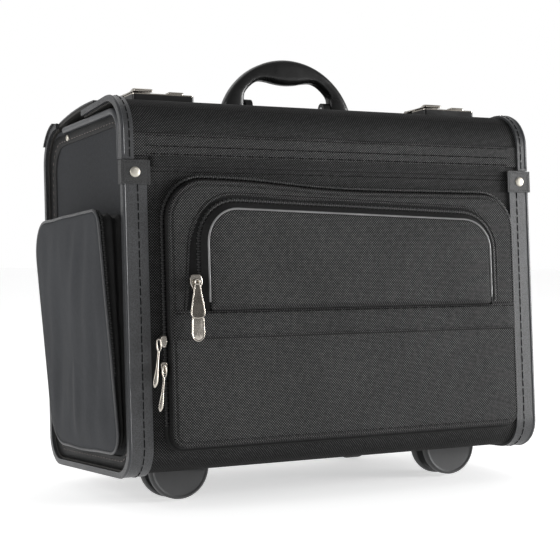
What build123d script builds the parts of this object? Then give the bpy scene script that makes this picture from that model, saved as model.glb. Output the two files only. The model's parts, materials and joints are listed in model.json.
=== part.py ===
"""Pilot rolling flight case: fabric-covered board case with two lids, pockets, rear wheels and tow handle.

Case axes while the parts are made: X from the left end, Y back from the front, Z up from the underside.
At the end the whole case is leaned back onto its front feet and rear wheels and centred on the floor.
"""
import os

from build123d import *

# ---- Case body -------------------------------------------------------------------------------------
LENGTH = 458.0
DEPTH = 225.0
HEIGHT = 356.0
LEAN = 4.0                      # degrees that the case leans back when it stands
BOTTOM_RADIUS = 30.0
FRONT_TOP_RADIUS = 38.0
REAR_TOP_RADIUS = 42.0
REAR_TOP = 350.0                # height of the rear edge where the rear lid is hinged
FRONT_HINGE = 292.0             # height of the front lid's hinge line
HINGE_GAP = 0.5
STEP_BELOW_HINGE = 4.0          # where the end panels' front edges step back to clear the front lid

# Depths below the outermost surface, which is the trim.
COVER_DEPTH = 2.5
BOARD_DEPTH = 3.5
LINING_DEPTH = 7.0
INNER_DEPTH = 7.8
WRAP_EDGE = 2.5                 # the wrapped boards stop this far inside each end

TRIM_WIDTH = 23.0
LID_TRIM_WIDTH = 11.0
BEAD_DEPTH = 5.5
END_COVER_X = 4.0
END_BOARD_X = 5.0
END_INNER_X = 9.0
END_TOP = 341.0
END_BAR_RADIUS = 3.5
END_BAR_REAR = 168.0

# ---- Hinge patches ---------------------------------------------------------------------------------
PATCH_WIDTH = 26.0
PATCH_HEIGHT = 22.0
PATCH_DEPTH = 1.8
PATCH_END = -2.6                # outer face of the front patch where it wraps round the end bead
RIVET_X = 11.0
RIVET_RADIUS = 4.3
RIVET_HEIGHT = 1.4

# ---- Lids ------------------------------------------------------------------------------------------
FRONT_LID_REAR = 106.0
FRONT_LID_DROP = 4.0
REAR_LID_FRONT = 80.0
REAR_LID_REAR = 181.5
REAR_LID_CROWN = ((REAR_LID_FRONT, 358.5), (132.0, 357.0), (REAR_LID_REAR, REAR_TOP + 0.5))
REAR_TRIM = 1.5
REAR_BOARD = 2.3
REAR_UNDER = 4.8
FRONT_AXIS = (-0.3, FRONT_HINGE)
REAR_AXIS = (182.0, REAR_TOP + 0.8)

# ---- Pockets ---------------------------------------------------------------------------------------
FRONT_POCKET = (38.0, 430.0, 26.0, 270.0)       # left, right, bottom, top
FRONT_POCKET_FACE = -11.0
FRONT_POCKET_RADII = (38.0, 14.0)               # top corners, bottom corners
UPPER_POCKET = (66.0, 402.0, 153.5, 251.0)
UPPER_POCKET_FACE = -21.0
UPPER_POCKET_RADII = (40.0, 3.0)
FLAP = (46.0, 423.0, 126.0, 152.5)
FLAP_FACE = -13.5
SOFT_EDGE = 7.0                                 # rounding of the padded edges
SIDE_POCKET = (12.0, 198.0, 22.0, 247.0)        # front, rear, bottom, top
SIDE_POCKET_TOP = 22.0                          # how far it stands out of the left end, at the top
SIDE_POCKET_FOOT = 5.0

# ---- Feet and wheels -------------------------------------------------------------------------------
FOOT_X = 72.0
FOOT_RADIUS = 31.0
FOOT_CENTRE = 3.0
FOOT_FRONT = 54.0
FOOT_REAR = 85.0
FOOT_PLATE = 8.0
FOOT_WEB = 0.62                 # the web's radius as a share of the plates'
WHEEL_X = 105.0
WHEEL_Y = 207.0
WHEEL_Z = 7.6
WHEEL_RADIUS = 27.0
WHEEL_WIDTH = 20.0
WHEEL_HUB_RADIUS = 19.0
WHEEL_GAP = 3.0
WHEEL_SIDE_GAP = 1.5
DISH_RADIUS = 16.0
DISH_DEPTH = 1.5
BOSS_RADIUS = 7.0
HOUSING_FRONT = 172.0
HOUSING_TOP = 44.0
AXLE_RADIUS = 4.0
RUNNING_GAP = 0.06
HOUSING_WIDTH = 40.0

# ---- Tow handle ------------------------------------------------------------------------------------
TUBE_X = 100.0                  # each tube's distance from the middle of the case
TUBE_Y = 233.5
TUBE_FOOT = 52.0
TUBE_TOP = 326.0
TUBE_PLUG = 3.5                 # how far the lower bracket's plugs reach up into the outer tubes
LOWER_BRACKET = 68.0            # top of the lower bracket
UPPER_BRACKET = 302.0           # underside of the upper bracket
OUTER_TUBE = (20.0, 14.0, 1.5)  # width, depth, wall
MIDDLE_TUBE = (16.8, 10.8, 1.3)
INNER_TUBE = (14.0, 8.0, 1.2)
GRIP_BOTTOM = 329.5
GRIP_TOP = 352.0
GRIP_HALF_DEPTH = 9.5
INNER_TUBE_TOP = GRIP_BOTTOM + 12
BUTTON = (32.0, 10.0)           # length, depth
BUTTON_GAP = 0.3
BRACKET_REACH = 24.0            # how far a bracket runs past each tube's middle
PLUG_GAP = 0.2

# ---- Carry handle, on the rear lid -----------------------------------------------------------------
HANDLE_Y = 110.0
HANDLE_PIVOT = 366.0
HANDLE_END_RADIUS = 8.0
HANDLE_ARCH_RADIUS = 80.9
HANDLE_ARCH_CENTRE = 335.0
HANDLE_PIN_RADIUS = 2.5
HANDLE_EAR_RADIUS = 6.5
HANDLE_EAR_WIDTH = 8.0
HANDLE_OPENING = 51.0           # half the width of the opening under the arch

# ---- Locks -----------------------------------------------------------------------------------------
LOCK_CENTRE = 63.0
LOCK_LENGTH = 64.0
LOCK_FRONT = 48.0
LOCK_REAR = 74.0
LOCK_TOP = 361.2
PLATE_TOP = 362.2
KEY_FROM = 28.0                 # the key cylinder's middle, from the lock's left end
KEY_RADIUS = 4.5
RELEASE_FROM = 48.5             # middle of the sliding release's button, from the lock's left end
HASP_WIDTH = 19.0
HASP_TIP = 47.0
KNUCKLE_RADIUS = 2.9
ARM_LIFT = 1.3                  # underside of the hasp's arm above its pin's middle
HASP_AXIS = (86.0, 361.6)
HASP_PIN_RADIUS = 1.2

MIDDLE = LENGTH / 2
SIDES = {"left": 1, "right": -1}


def mirrored(shape):
    """The same shape on the other half of the case."""
    return mirror(shape, about=Plane.YZ.offset(MIDDLE))


def both(shape):
    """A shape and its mirror image, as one group of two solids."""
    return Compound(children=[shape, mirrored(shape)])


def block(x0, x1, y0, y1, z0, z1):
    """A box given by its limits."""
    return Pos((x0 + x1) / 2, (y0 + y1) / 2, (z0 + z1) / 2) * Box(x1 - x0, y1 - y0, z1 - z0)


def column(x, y, width, depth, z0, z1):
    """A box centred on x and y, from height z0 to z1."""
    return block(x - width / 2, x + width / 2, y - depth / 2, y + depth / 2, z0, z1)


def rod_x(x0, x1, y, z, radius):
    """A round bar along X."""
    return Pos((x0 + x1) / 2, y, z) * Rot(Y=90) * Cylinder(radius, abs(x1 - x0))


def rod_y(x, y0, y1, z, radius):
    """A round bar along Y."""
    return Pos(x, (y0 + y1) / 2, z) * Rot(X=90) * Cylinder(radius, y1 - y0)


# ---- Side-view outlines of the wrapped walls, each at a depth below the trim -----------------------
def body_path(depth):
    """From the front hinge down, under the case and up to the rear hinge."""
    low = BOTTOM_RADIUS - depth
    rear_arc = (DEPTH - REAR_TOP_RADIUS, REAR_TOP - REAR_TOP_RADIUS)
    return [
        Line((depth, FRONT_HINGE), (depth, BOTTOM_RADIUS)),
        CenterArc((BOTTOM_RADIUS, BOTTOM_RADIUS), low, 180, 90),
        Line((BOTTOM_RADIUS, depth), (DEPTH - BOTTOM_RADIUS, depth)),
        CenterArc((DEPTH - BOTTOM_RADIUS, BOTTOM_RADIUS), low, 270, 90),
        Line((DEPTH - depth, BOTTOM_RADIUS), (DEPTH - depth, rear_arc[1])),
        CenterArc(rear_arc, REAR_TOP_RADIUS - depth, 0, 90),
    ]


def front_lid_path(depth):
    """From the front hinge up, round the top front corner and back over the top."""
    corner = HEIGHT - FRONT_TOP_RADIUS
    return [
        Line((depth, FRONT_HINGE + HINGE_GAP), (depth, corner)),
        CenterArc((FRONT_TOP_RADIUS, corner), FRONT_TOP_RADIUS - depth, 180, -90),
        Line((FRONT_TOP_RADIUS, HEIGHT - depth), (FRONT_LID_REAR, HEIGHT - FRONT_LID_DROP - depth)),
    ]


def rear_lid_path(depth):
    """The gently crowned rear lid, from its front edge to its hinge."""
    return [ThreePointArc(*[(y, z - depth) for y, z in REAR_LID_CROWN])]


def band(path, outer, inner, x0, x1):
    """The wall between two depths of a side-view outline, from x0 to x1."""
    outside = path(outer)
    inside = path(inner)
    caps = [Line(outside[0] @ 0, inside[0] @ 0), Line(outside[-1] @ 1, inside[-1] @ 1)]
    face = make_face([*outside, *inside, *caps])
    return extrude(Plane.YZ.offset(x0) * face, amount=x1 - x0)


def outline_xz(left, right, bottom, top, top_radius, bottom_radius):
    """A rounded rectangle seen from the front."""
    corners = [(left, bottom), (left, top), (right, top), (right, bottom)]
    radii = [bottom_radius, top_radius, top_radius, bottom_radius]
    return make_face(FilletPolyline(*corners, radius=radii, close=True))


def front_slab(limits, top_radius, bottom_radius, y0, y1):
    """A rounded slab with its face to the front, from depth y0 to y1."""
    face = outline_xz(*limits, top_radius, bottom_radius)
    return extrude(Plane.XZ.offset(-y1) * face, amount=y1 - y0)


# ---- Walls, covers and lining ----------------------------------------------------------------------
def wheel_cut():
    """The corner that is cut out of the walls for the left wheel housing."""
    half = HOUSING_WIDTH / 2
    return block(WHEEL_X - half, WHEEL_X + half, HOUSING_FRONT, DEPTH + 5, -5, HOUSING_TOP)


def wrapped(path, outer, inner):
    """A wall that runs from end to end of the case, with its wheel cut-outs."""
    wall = band(path, outer, inner, WRAP_EDGE, LENGTH - WRAP_EDGE)
    return wall - wheel_cut() - mirrored(wheel_cut())


def boards():
    """The front, bottom and rear boards, parted at the straight ends of the bottom bends."""
    wall = wrapped(body_path, BOARD_DEPTH, LINING_DEPTH)
    front = block(0, LENGTH, 0, BOTTOM_RADIUS, 0, HEIGHT)
    rear = block(0, LENGTH, DEPTH - BOTTOM_RADIUS, DEPTH, 0, HEIGHT)
    rear += block(0, LENGTH, DEPTH / 2, DEPTH, HEIGHT / 2, HEIGHT)
    return {"front_board": wall & front, "rear_board": wall & rear, "bottom_board": wall - front - rear}


def end_outline():
    """An end panel seen from the side; its front edge steps back above the hinge to clear the lid."""
    d = LINING_DEPTH
    top = END_TOP
    arc_z = HEIGHT - FRONT_TOP_RADIUS
    step = FRONT_TOP_RADIUS - (top - arc_z)
    rear_y = DEPTH - REAR_TOP_RADIUS
    rear_z = REAR_TOP - REAR_TOP_RADIUS
    rear_radius = top - rear_z
    low = BOTTOM_RADIUS - d
    step_z = FRONT_HINGE - STEP_BELOW_HINGE
    return make_face([
        Line((d, BOTTOM_RADIUS), (d, step_z)),
        Line((d, step_z), (step, step_z)),
        Line((step, step_z), (step, arc_z)),
        CenterArc((FRONT_TOP_RADIUS, arc_z), top - arc_z, 180, -90),
        Line((FRONT_TOP_RADIUS, top), (rear_y, top)),
        CenterArc((rear_y, rear_z), rear_radius, 90, -90),
        Line((rear_y + rear_radius, rear_z), (DEPTH - d, BOTTOM_RADIUS)),
        CenterArc((DEPTH - BOTTOM_RADIUS, BOTTOM_RADIUS), low, 0, -90),
        Line((DEPTH - BOTTOM_RADIUS, d), (BOTTOM_RADIUS, d)),
        CenterArc((BOTTOM_RADIUS, BOTTOM_RADIUS), low, 270, -90),
    ])


def end_bar():
    """The wrapped steel bar along the top and upper front edge of the left end."""
    arc_z = HEIGHT - FRONT_TOP_RADIUS
    radius = END_TOP - arc_z
    front_y = FRONT_TOP_RADIUS - radius
    path = Curve() + [
        Line((END_BAR_REAR, END_TOP), (FRONT_TOP_RADIUS, END_TOP)),
        CenterArc((FRONT_TOP_RADIUS, arc_z), radius, 90, 90),
        Line((front_y, arc_z), (front_y, FRONT_HINGE + 2)),
    ]
    spine = Plane.YZ.offset(END_COVER_X) * path
    start = Plane(origin=(END_COVER_X, END_BAR_REAR, END_TOP), z_dir=(0, -1, 0))
    return sweep(start * Circle(END_BAR_RADIUS), path=spine)


def end_panels():
    """The board and the cover of each end, with a groove for the end bar."""
    board = extrude(Plane.YZ.offset(END_BOARD_X) * end_outline(), amount=END_INNER_X - END_BOARD_X)
    cover = extrude(Plane.YZ.offset(END_COVER_X) * end_outline(), amount=END_BOARD_X - END_COVER_X)
    bar = end_bar()
    board -= bar
    cover -= bar
    return {
        "end_board_left": board,
        "end_board_right": mirrored(board),
        "end_covers": both(cover),
        "end_bars": both(bar),
    }


def edge_trim(path, thickness, width):
    """A flat trim strip along the edge of a wrapped wall, with the bead that caps the wall's end."""
    strip = band(path, 0, thickness, 0, width)
    bead = band(path, 0, BEAD_DEPTH, -1, WRAP_EDGE)
    return strip + bead


def walls():
    """Everything fixed that makes the box itself."""
    nodes = boards()
    nodes["body_cover"] = wrapped(body_path, COVER_DEPTH, BOARD_DEPTH)
    lining = band(body_path, LINING_DEPTH, INNER_DEPTH, END_INNER_X, LENGTH - END_INNER_X)
    nodes["body_lining"] = lining - wheel_cut() - mirrored(wheel_cut())
    nodes |= end_panels()
    nodes["body_trims"] = both(edge_trim(body_path, COVER_DEPTH, TRIM_WIDTH))
    return nodes


# ---- Hinge patches ---------------------------------------------------------------------------------
def hinge_patches():
    """Riveted patches over the ends of both hinges; the front ones also wrap round the end bead."""
    top = FRONT_HINGE - 0.5
    foot = top - PATCH_HEIGHT
    front = block(PATCH_END, PATCH_WIDTH, -PATCH_DEPTH, 0, foot, top)
    front += block(PATCH_END, -1, -PATCH_DEPTH, BEAD_DEPTH, foot, top)
    rear_y = DEPTH - REAR_TOP_RADIUS
    rear_z = REAR_TOP - REAR_TOP_RADIUS
    outside = REAR_TOP_RADIUS + PATCH_DEPTH
    ring = Circle(outside) - Circle(REAR_TOP_RADIUS)
    rear = extrude(Plane.YZ.offset(PATCH_END) * Pos(rear_y, rear_z) * ring, amount=PATCH_WIDTH - PATCH_END)
    rear &= block(PATCH_END - 1, PATCH_WIDTH, rear_y + 8, DEPTH + 5, rear_z + 22, HEIGHT)
    front_rivet = rod_y(RIVET_X, -PATCH_DEPTH - RIVET_HEIGHT, -PATCH_DEPTH, (foot + top) / 2, RIVET_RADIUS)
    slant = Plane(origin=(RIVET_X, rear_y, rear_z), z_dir=(0, 1, 1))
    rear_rivet = slant * Pos(0, 0, outside + 0.4) * Cylinder(RIVET_RADIUS, RIVET_HEIGHT)
    rear -= rear_rivet
    patches = Compound(children=[front, mirrored(front), rear, mirrored(rear)])
    rivets = Compound(children=[front_rivet, mirrored(front_rivet), rear_rivet, mirrored(rear_rivet)])
    return {"hinge_patches": patches, "patch_rivets": rivets}


# ---- Pockets and zips ------------------------------------------------------------------------------
def pockets():
    """The front pocket, the smaller pocket and flap on it, and the wedge pocket on the left end."""
    front = front_slab(FRONT_POCKET, *FRONT_POCKET_RADII, FRONT_POCKET_FACE, COVER_DEPTH)
    front = fillet(front.faces().sort_by(Axis.Y)[0].edges(), SOFT_EDGE)
    upper = front_slab(UPPER_POCKET, *UPPER_POCKET_RADII, UPPER_POCKET_FACE, FRONT_POCKET_FACE)
    flap = front_slab(FLAP, 2, 2, FLAP_FACE, FRONT_POCKET_FACE)
    y0, y1, z0, z1 = SIDE_POCKET
    profile = make_face(Polyline(
        (END_COVER_X, z0), (-SIDE_POCKET_FOOT, z0), (-SIDE_POCKET_TOP, z1), (END_COVER_X, z1), close=True,
    ))
    side = extrude(Plane.XZ.offset(-y1) * profile, amount=y1 - y0)
    side = fillet(side.edges().filter_by(Axis.Y).sort_by(Axis.X)[:2], SOFT_EDGE)
    return {"front_pocket": front, "upper_pocket": upper, "pocket_flap": flap, "side_pocket": side}


TRACK_WIDTH = 2.5
TRACK_DEPTH = 4.0


def zip_track(limits, radii, lowest, y):
    """The row of zip teeth along the left side, top and right side of a front pocket."""
    left, right, bottom, top = limits
    wide = (left - TRACK_WIDTH, right + TRACK_WIDTH, bottom - TRACK_WIDTH, top + TRACK_WIDTH)
    y0 = y - TRACK_DEPTH / 2
    y1 = y + TRACK_DEPTH / 2
    ring = front_slab(wide, *[radius + TRACK_WIDTH for radius in radii], y0, y1)
    ring -= front_slab(limits, *radii, y0 - 1, y1 + 1)
    return ring - block(left - 9, right + 9, y0 - 1, y1 + 1, bottom - 9, lowest)


FRONT_TRACK_Y = -3.0
UPPER_TRACK_Y = -15.5

# Each zip slider: outer side of its track in X, track middle in Y, height, how far outside the track
# and in front of the slider its pull swings, pull length, pull width. The upper front pull hangs
# beside the lower one.
ZIP_SLIDERS = {
    "front_zip_upper": (FRONT_POCKET[0] - TRACK_WIDTH, FRONT_TRACK_Y, 125.0, 9.0, 3.0, 44.0, 4.4),
    "front_zip_lower": (FRONT_POCKET[0] - TRACK_WIDTH, FRONT_TRACK_Y, 101.0, 4.0, 2.2, 42.0, 4.4),
    "upper_zip": (UPPER_POCKET[0] - TRACK_WIDTH, UPPER_TRACK_Y, 178.0, 3.0, 3.6, 58.0, 14.0),
}
SLIDER_HEIGHT = 13.0
SLIDER_WIDTH = 5.2
SLIDER_DEPTH = 8.0
SLIDER_GAP = 0.3                # between a slider and the pocket side of its track
PULL_PIN_RADIUS = 1.0
PULL_PIN_HALF = 2.5
PULL_THICK = 1.6
EYE_HALF = 1.4
EYE_RADIUS = 2.0


def pull_pivot(name):
    """The point that a zip pull swings about: in front of its slider, near the top."""
    x, y, z, outside, reach = ZIP_SLIDERS[name][:5]
    return (x - outside, y - SLIDER_DEPTH / 2 - reach, z + 2.0)


def zip_slider(name):
    """A slider astride the teeth, with a bridge and two lugs that hold the pull's pin, and its pull."""
    x, y, z = ZIP_SLIDERS[name][:3]
    length, width = ZIP_SLIDERS[name][5:]
    pivot_x, pivot_y, pivot_z = pull_pivot(name)
    front = y - SLIDER_DEPTH / 2
    right = x - SLIDER_GAP
    body = block(right - SLIDER_WIDTH, right, front, front + SLIDER_DEPTH,
                 z - SLIDER_HEIGHT / 2, z + SLIDER_HEIGHT / 2)
    body = fillet(body.edges().filter_by(Axis.Y), 1.5)
    body += block(min(pivot_x - PULL_PIN_HALF, right - 1), right, front, front + 2, pivot_z - 3, pivot_z + 3)
    for lug_x in (pivot_x - PULL_PIN_HALF, pivot_x + PULL_PIN_HALF - 1):
        body += block(lug_x, lug_x + 1, pivot_y - 1.6, front, pivot_z - 1.6, pivot_z + 1.6)
    body += rod_x(pivot_x - PULL_PIN_HALF, pivot_x + PULL_PIN_HALF, pivot_y, pivot_z, PULL_PIN_RADIUS)
    face = pivot_y - PULL_THICK / 2
    eye = rod_x(pivot_x - EYE_HALF, pivot_x + EYE_HALF, pivot_y, pivot_z, EYE_RADIUS)
    eye += block(pivot_x - EYE_HALF, pivot_x + EYE_HALF, face, face + PULL_THICK, pivot_z - 7, pivot_z)
    plate = front_slab((pivot_x - width / 2, pivot_x + width / 2, pivot_z - length, pivot_z - 5),
                       width * 0.3, width * 0.45, face, face + PULL_THICK)
    pin_hole = rod_x(pivot_x - 2, pivot_x + 2, pivot_y, pivot_z, PULL_PIN_RADIUS + RUNNING_GAP)
    return {f"{name}_slider": body, f"{name}_pull": eye + plate - pin_hole}


def zips():
    """The teeth of both front zips, and their sliders and pulls."""
    tracks = Compound(children=[
        zip_track(FRONT_POCKET, FRONT_POCKET_RADII, 45, FRONT_TRACK_Y),
        zip_track(UPPER_POCKET, UPPER_POCKET_RADII, 156, UPPER_TRACK_Y),
    ])
    nodes = {"zip_tracks": tracks}
    for name in ZIP_SLIDERS:
        nodes |= zip_slider(name)
    return nodes


# ---- Feet and wheels -------------------------------------------------------------------------------
def foot():
    """A front foot: two half-round plates on a narrower web, screwed up against the underside."""
    shape = rod_y(FOOT_X, FOOT_FRONT, FOOT_FRONT + FOOT_PLATE, FOOT_CENTRE, FOOT_RADIUS)
    shape += rod_y(FOOT_X, FOOT_REAR - FOOT_PLATE, FOOT_REAR, FOOT_CENTRE, FOOT_RADIUS)
    shape = fillet(shape.edges().filter_by(GeomType.CIRCLE), 1.5)
    shape += rod_y(FOOT_X, FOOT_FRONT + 2, FOOT_REAR - 2, FOOT_CENTRE, FOOT_RADIUS * FOOT_WEB)
    return shape & block(0, LENGTH, 0, DEPTH, -50, COVER_DEPTH)


def wheel_parts():
    """The left wheel's housing, axle, hub and tyre."""
    half = HOUSING_WIDTH / 2
    shell = make_face([
        Line((HOUSING_FRONT, 0), (DEPTH - BOTTOM_RADIUS, 0)),
        CenterArc((DEPTH - BOTTOM_RADIUS, BOTTOM_RADIUS), BOTTOM_RADIUS, 270, 90),
        Line((DEPTH, BOTTOM_RADIUS), (DEPTH, HOUSING_TOP)),
        Line((DEPTH, HOUSING_TOP), (HOUSING_FRONT, HOUSING_TOP)),
        Line((HOUSING_FRONT, HOUSING_TOP), (HOUSING_FRONT, 0)),
    ])
    housing = extrude(Plane.YZ.offset(WHEEL_X - half) * shell, amount=HOUSING_WIDTH)
    arch = WHEEL_WIDTH / 2 + WHEEL_SIDE_GAP
    housing -= rod_x(WHEEL_X - arch, WHEEL_X + arch, WHEEL_Y, WHEEL_Z, WHEEL_RADIUS + WHEEL_GAP)
    housing -= block(WHEEL_X - arch, WHEEL_X + arch, WHEEL_Y - 12, DEPTH + 9, -9, WHEEL_Z)
    axle_half = half - 1
    axle = rod_x(WHEEL_X - axle_half, WHEEL_X + axle_half, WHEEL_Y, WHEEL_Z, AXLE_RADIUS)
    housing -= axle
    wide = WHEEL_WIDTH / 2
    disc = rod_x(WHEEL_X - wide, WHEEL_X + wide, WHEEL_Y, WHEEL_Z, WHEEL_RADIUS)
    disc = fillet(disc.edges().filter_by(GeomType.CIRCLE), 3)
    core = rod_x(WHEEL_X - wide, WHEEL_X + wide, WHEEL_Y, WHEEL_Z, WHEEL_HUB_RADIUS)
    for side in (-1, 1):
        floor = WHEEL_X + side * (wide - DISH_DEPTH)
        dish = rod_x(floor, floor + side * 2 * DISH_DEPTH, WHEEL_Y, WHEEL_Z, DISH_RADIUS)
        boss = rod_x(floor, WHEEL_X + side * (wide + 0.6), WHEEL_Y, WHEEL_Z, BOSS_RADIUS)
        core = core - dish + boss
    hub = core - rod_x(0, LENGTH, WHEEL_Y, WHEEL_Z, AXLE_RADIUS + RUNNING_GAP)
    tyre = disc - rod_x(0, LENGTH, WHEEL_Y, WHEEL_Z, WHEEL_HUB_RADIUS)
    return {"wheel_housing": housing, "axle": axle, "wheel_hub": hub, "tyre": tyre}


def feet_and_wheels():
    """Both feet, and the wheels as a left and a right set."""
    nodes = {"foot_left": foot(), "foot_right": mirrored(foot())}
    parts = wheel_parts()
    nodes["axles"] = both(parts.pop("axle"))
    for name, shape in parts.items():
        nodes[f"{name}_left"] = shape
        nodes[f"{name}_right"] = mirrored(shape)
    return nodes


# ---- Tow handle ------------------------------------------------------------------------------------
def tube(size, z0, z1):
    """A pair of rectangular tubes, one each side of the middle."""
    width, depth, wall = size
    x = MIDDLE - TUBE_X
    outside = column(x, TUBE_Y, width, depth, z0, z1)
    outside = fillet(outside.edges().filter_by(Axis.Z), 2)
    bore = column(x, TUBE_Y, width - 2 * wall, depth - 2 * wall, z0 - 1, z1 + 1)
    bore = fillet(bore.edges().filter_by(Axis.Z), 0.8)
    return both(outside - bore)


def tube_bridge(z0, z1, socket_from):
    """A moulded bracket across the rear wall that holds both outer tubes, from socket_from up."""
    reach = TUBE_X + BRACKET_REACH
    shape = block(MIDDLE - reach, MIDDLE + reach, DEPTH - COVER_DEPTH, TUBE_Y + 10.5, z0, z1)
    shape = fillet(shape.edges().filter_by(Axis.Z).sort_by(Axis.Y)[-2:], 6)
    width, depth, wall = OUTER_TUBE
    x = MIDDLE - TUBE_X
    hole = column(x, TUBE_Y, width, depth, socket_from, z1 + 1)
    hole = fillet(hole.edges().filter_by(Axis.Z), 2)
    if socket_from > z0:
        play = 2 * (wall + PLUG_GAP)
        hole -= column(x, TUBE_Y, width - play, depth - play, z0, socket_from + TUBE_PLUG)
    return shape - hole - mirrored(hole)


def tow_grip():
    """The tow handle's grip: a bar across the two inner tubes, hollowed for its push button."""
    reach = TUBE_X + 16
    front = TUBE_Y - GRIP_HALF_DEPTH
    grip = block(MIDDLE - reach, MIDDLE + reach, front, TUBE_Y + GRIP_HALF_DEPTH, GRIP_BOTTOM, GRIP_TOP)
    grip = fillet(grip.edges().filter_by(Axis.Y), 7)
    grip = fillet(grip.edges().group_by(Axis.Y)[-1], 3)
    well_length, well_depth = (size + 2 * BUTTON_GAP for size in BUTTON)
    well = column(MIDDLE, TUBE_Y, well_length, well_depth, GRIP_TOP - 14, GRIP_TOP + 1)
    socket = column(MIDDLE - TUBE_X, TUBE_Y, *INNER_TUBE[:2], 0, INNER_TUBE_TOP)
    return grip - well - both(socket)


def tow_handle():
    """Two-stage telescopic tow handle outside the rear wall."""
    button = column(MIDDLE, TUBE_Y, *BUTTON, GRIP_TOP - 6, GRIP_TOP + 2)
    button = fillet(button.edges().filter_by(Axis.Z), 3)
    coil = Pos(MIDDLE, TUBE_Y, GRIP_TOP - 10) * (Cylinder(4, 8) - Cylinder(3, 8))
    return {
        "tow_outer_tubes": tube(OUTER_TUBE, TUBE_FOOT, TUBE_TOP),
        "tow_upper_bracket": tube_bridge(UPPER_BRACKET, TUBE_TOP, UPPER_BRACKET - 1),
        "tow_lower_bracket": tube_bridge(TUBE_FOOT - 4, LOWER_BRACKET, TUBE_FOOT),
        "tow_middle_tubes": tube(MIDDLE_TUBE, TUBE_FOOT + 4, TUBE_TOP + 2),
        "tow_inner_tubes": tube(INNER_TUBE, TUBE_FOOT + 8, INNER_TUBE_TOP),
        "tow_grip": tow_grip(),
        "tow_button": button,
        "tow_button_spring": coil,
    }


# ---- Lids ------------------------------------------------------------------------------------------
def lids():
    """The L-shaped front lid and the crowned rear lid: board, cover and edge trims of each."""
    ends = (WRAP_EDGE, LENGTH - WRAP_EDGE)
    return {
        "front_lid_board": band(front_lid_path, BOARD_DEPTH, LINING_DEPTH, *ends),
        "front_lid_cover": band(front_lid_path, COVER_DEPTH, BOARD_DEPTH, *ends),
        "front_lid_trims": both(edge_trim(front_lid_path, COVER_DEPTH, LID_TRIM_WIDTH)),
        "rear_lid_board": band(rear_lid_path, REAR_BOARD, REAR_UNDER, *ends),
        "rear_lid_cover": band(rear_lid_path, REAR_TRIM, REAR_BOARD, *ends),
        "rear_lid_trims": both(band(rear_lid_path, 0, REAR_TRIM, WRAP_EDGE, TRIM_WIDTH)),
    }


def on_front_lid(shape):
    """A fitting cut to sit on the front lid's cover."""
    under = band(front_lid_path, COVER_DEPTH, COVER_DEPTH + 20, -9, LENGTH + 9)
    return shape - under


def on_rear_lid(shape):
    """A fitting cut to sit on the rear lid's cover."""
    under = band(rear_lid_path, REAR_TRIM, REAR_TRIM + 20, -9, LENGTH + 9)
    return shape - under


# ---- Locks -----------------------------------------------------------------------------------------
def lock(x0):
    """One lock on the front lid: base, plate, sliding release and key cylinder."""
    middle_y = (LOCK_FRONT + LOCK_REAR) / 2
    x1 = x0 + LOCK_LENGTH
    base = block(x0, x1, LOCK_FRONT, LOCK_REAR, 345, LOCK_TOP)
    base = on_front_lid(fillet(base.edges().filter_by(Axis.Z), 3))
    plate = block(x0, x1, LOCK_FRONT, LOCK_REAR, LOCK_TOP, PLATE_TOP)
    plate = fillet(plate.edges().filter_by(Axis.Z), 3)
    key_x = x0 + KEY_FROM
    key_hole = Pos(key_x, middle_y, LOCK_TOP) * Cylinder(KEY_RADIUS + RUNNING_GAP, 8)
    release_x = x0 + RELEASE_FROM
    slot = column(release_x - 3.25, middle_y, 12.5, 4.2, 357, PLATE_TOP + 1)
    base = base - key_hole - slot
    plate = plate - key_hole - slot
    cylinder = Pos(key_x, middle_y, LOCK_TOP - 0.7) * Cylinder(KEY_RADIUS, 4.4)
    cylinder -= column(key_x, middle_y, 1.2, 5.2, PLATE_TOP - 0.5, PLATE_TOP + 2)
    button = column(release_x, middle_y, 15, 10, PLATE_TOP + 0.2, PLATE_TOP + 2.6)
    button = fillet(button.edges().filter_by(Axis.Z), 1.5)
    button += column(release_x - 0.3, middle_y, 6, 3.6, 358, PLATE_TOP + 0.2)
    return {"base": base, "plate": plate, "cylinder": cylinder, "slide": button}


def hasp(x0):
    """A hasp that reaches forward from the rear lid over the lock, its hinge plate and its pin."""
    y, z = HASP_AXIS
    x1 = x0 + HASP_WIDTH
    third = HASP_WIDTH / 3
    under = z + ARM_LIFT
    top = z + KNUCKLE_RADIUS
    arm = block(x0, x1, HASP_TIP, y, under, top)
    lip = make_face(Polyline(
        (HASP_TIP, under), (HASP_TIP, top), (HASP_TIP - 3.6, z + 6.6), (HASP_TIP - 4.7, z + 5.4), close=True,
    ))
    arm += extrude(Plane.YZ.offset(x0) * lip, amount=HASP_WIDTH)
    arm -= block(x0 - 1, x0 + third, y - 4, y + 1, 350, 370)
    arm -= block(x1 - third, x1 + 1, y - 4, y + 1, 350, 370)
    arm += rod_x(x0 + third + 0.2, x1 - third - 0.2, y, z, KNUCKLE_RADIUS)
    arm -= rod_x(x0, x1, y, z, HASP_PIN_RADIUS + RUNNING_GAP)
    plate = on_rear_lid(block(x0, x1, y + KNUCKLE_RADIUS + 0.6, y + 18, 350, 359.4))
    for left in (x0, x1 - third):
        knuckle = rod_x(left, left + third, y, z, KNUCKLE_RADIUS)
        knuckle += block(left, left + third, y, y + 6, z - 3.4, z - 1.5)
        plate += on_rear_lid(knuckle)
    pin = rod_x(x0, x1, y, z, HASP_PIN_RADIUS)
    return {"hasp": arm, "plate": plate - pin, "pin": pin}


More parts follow.
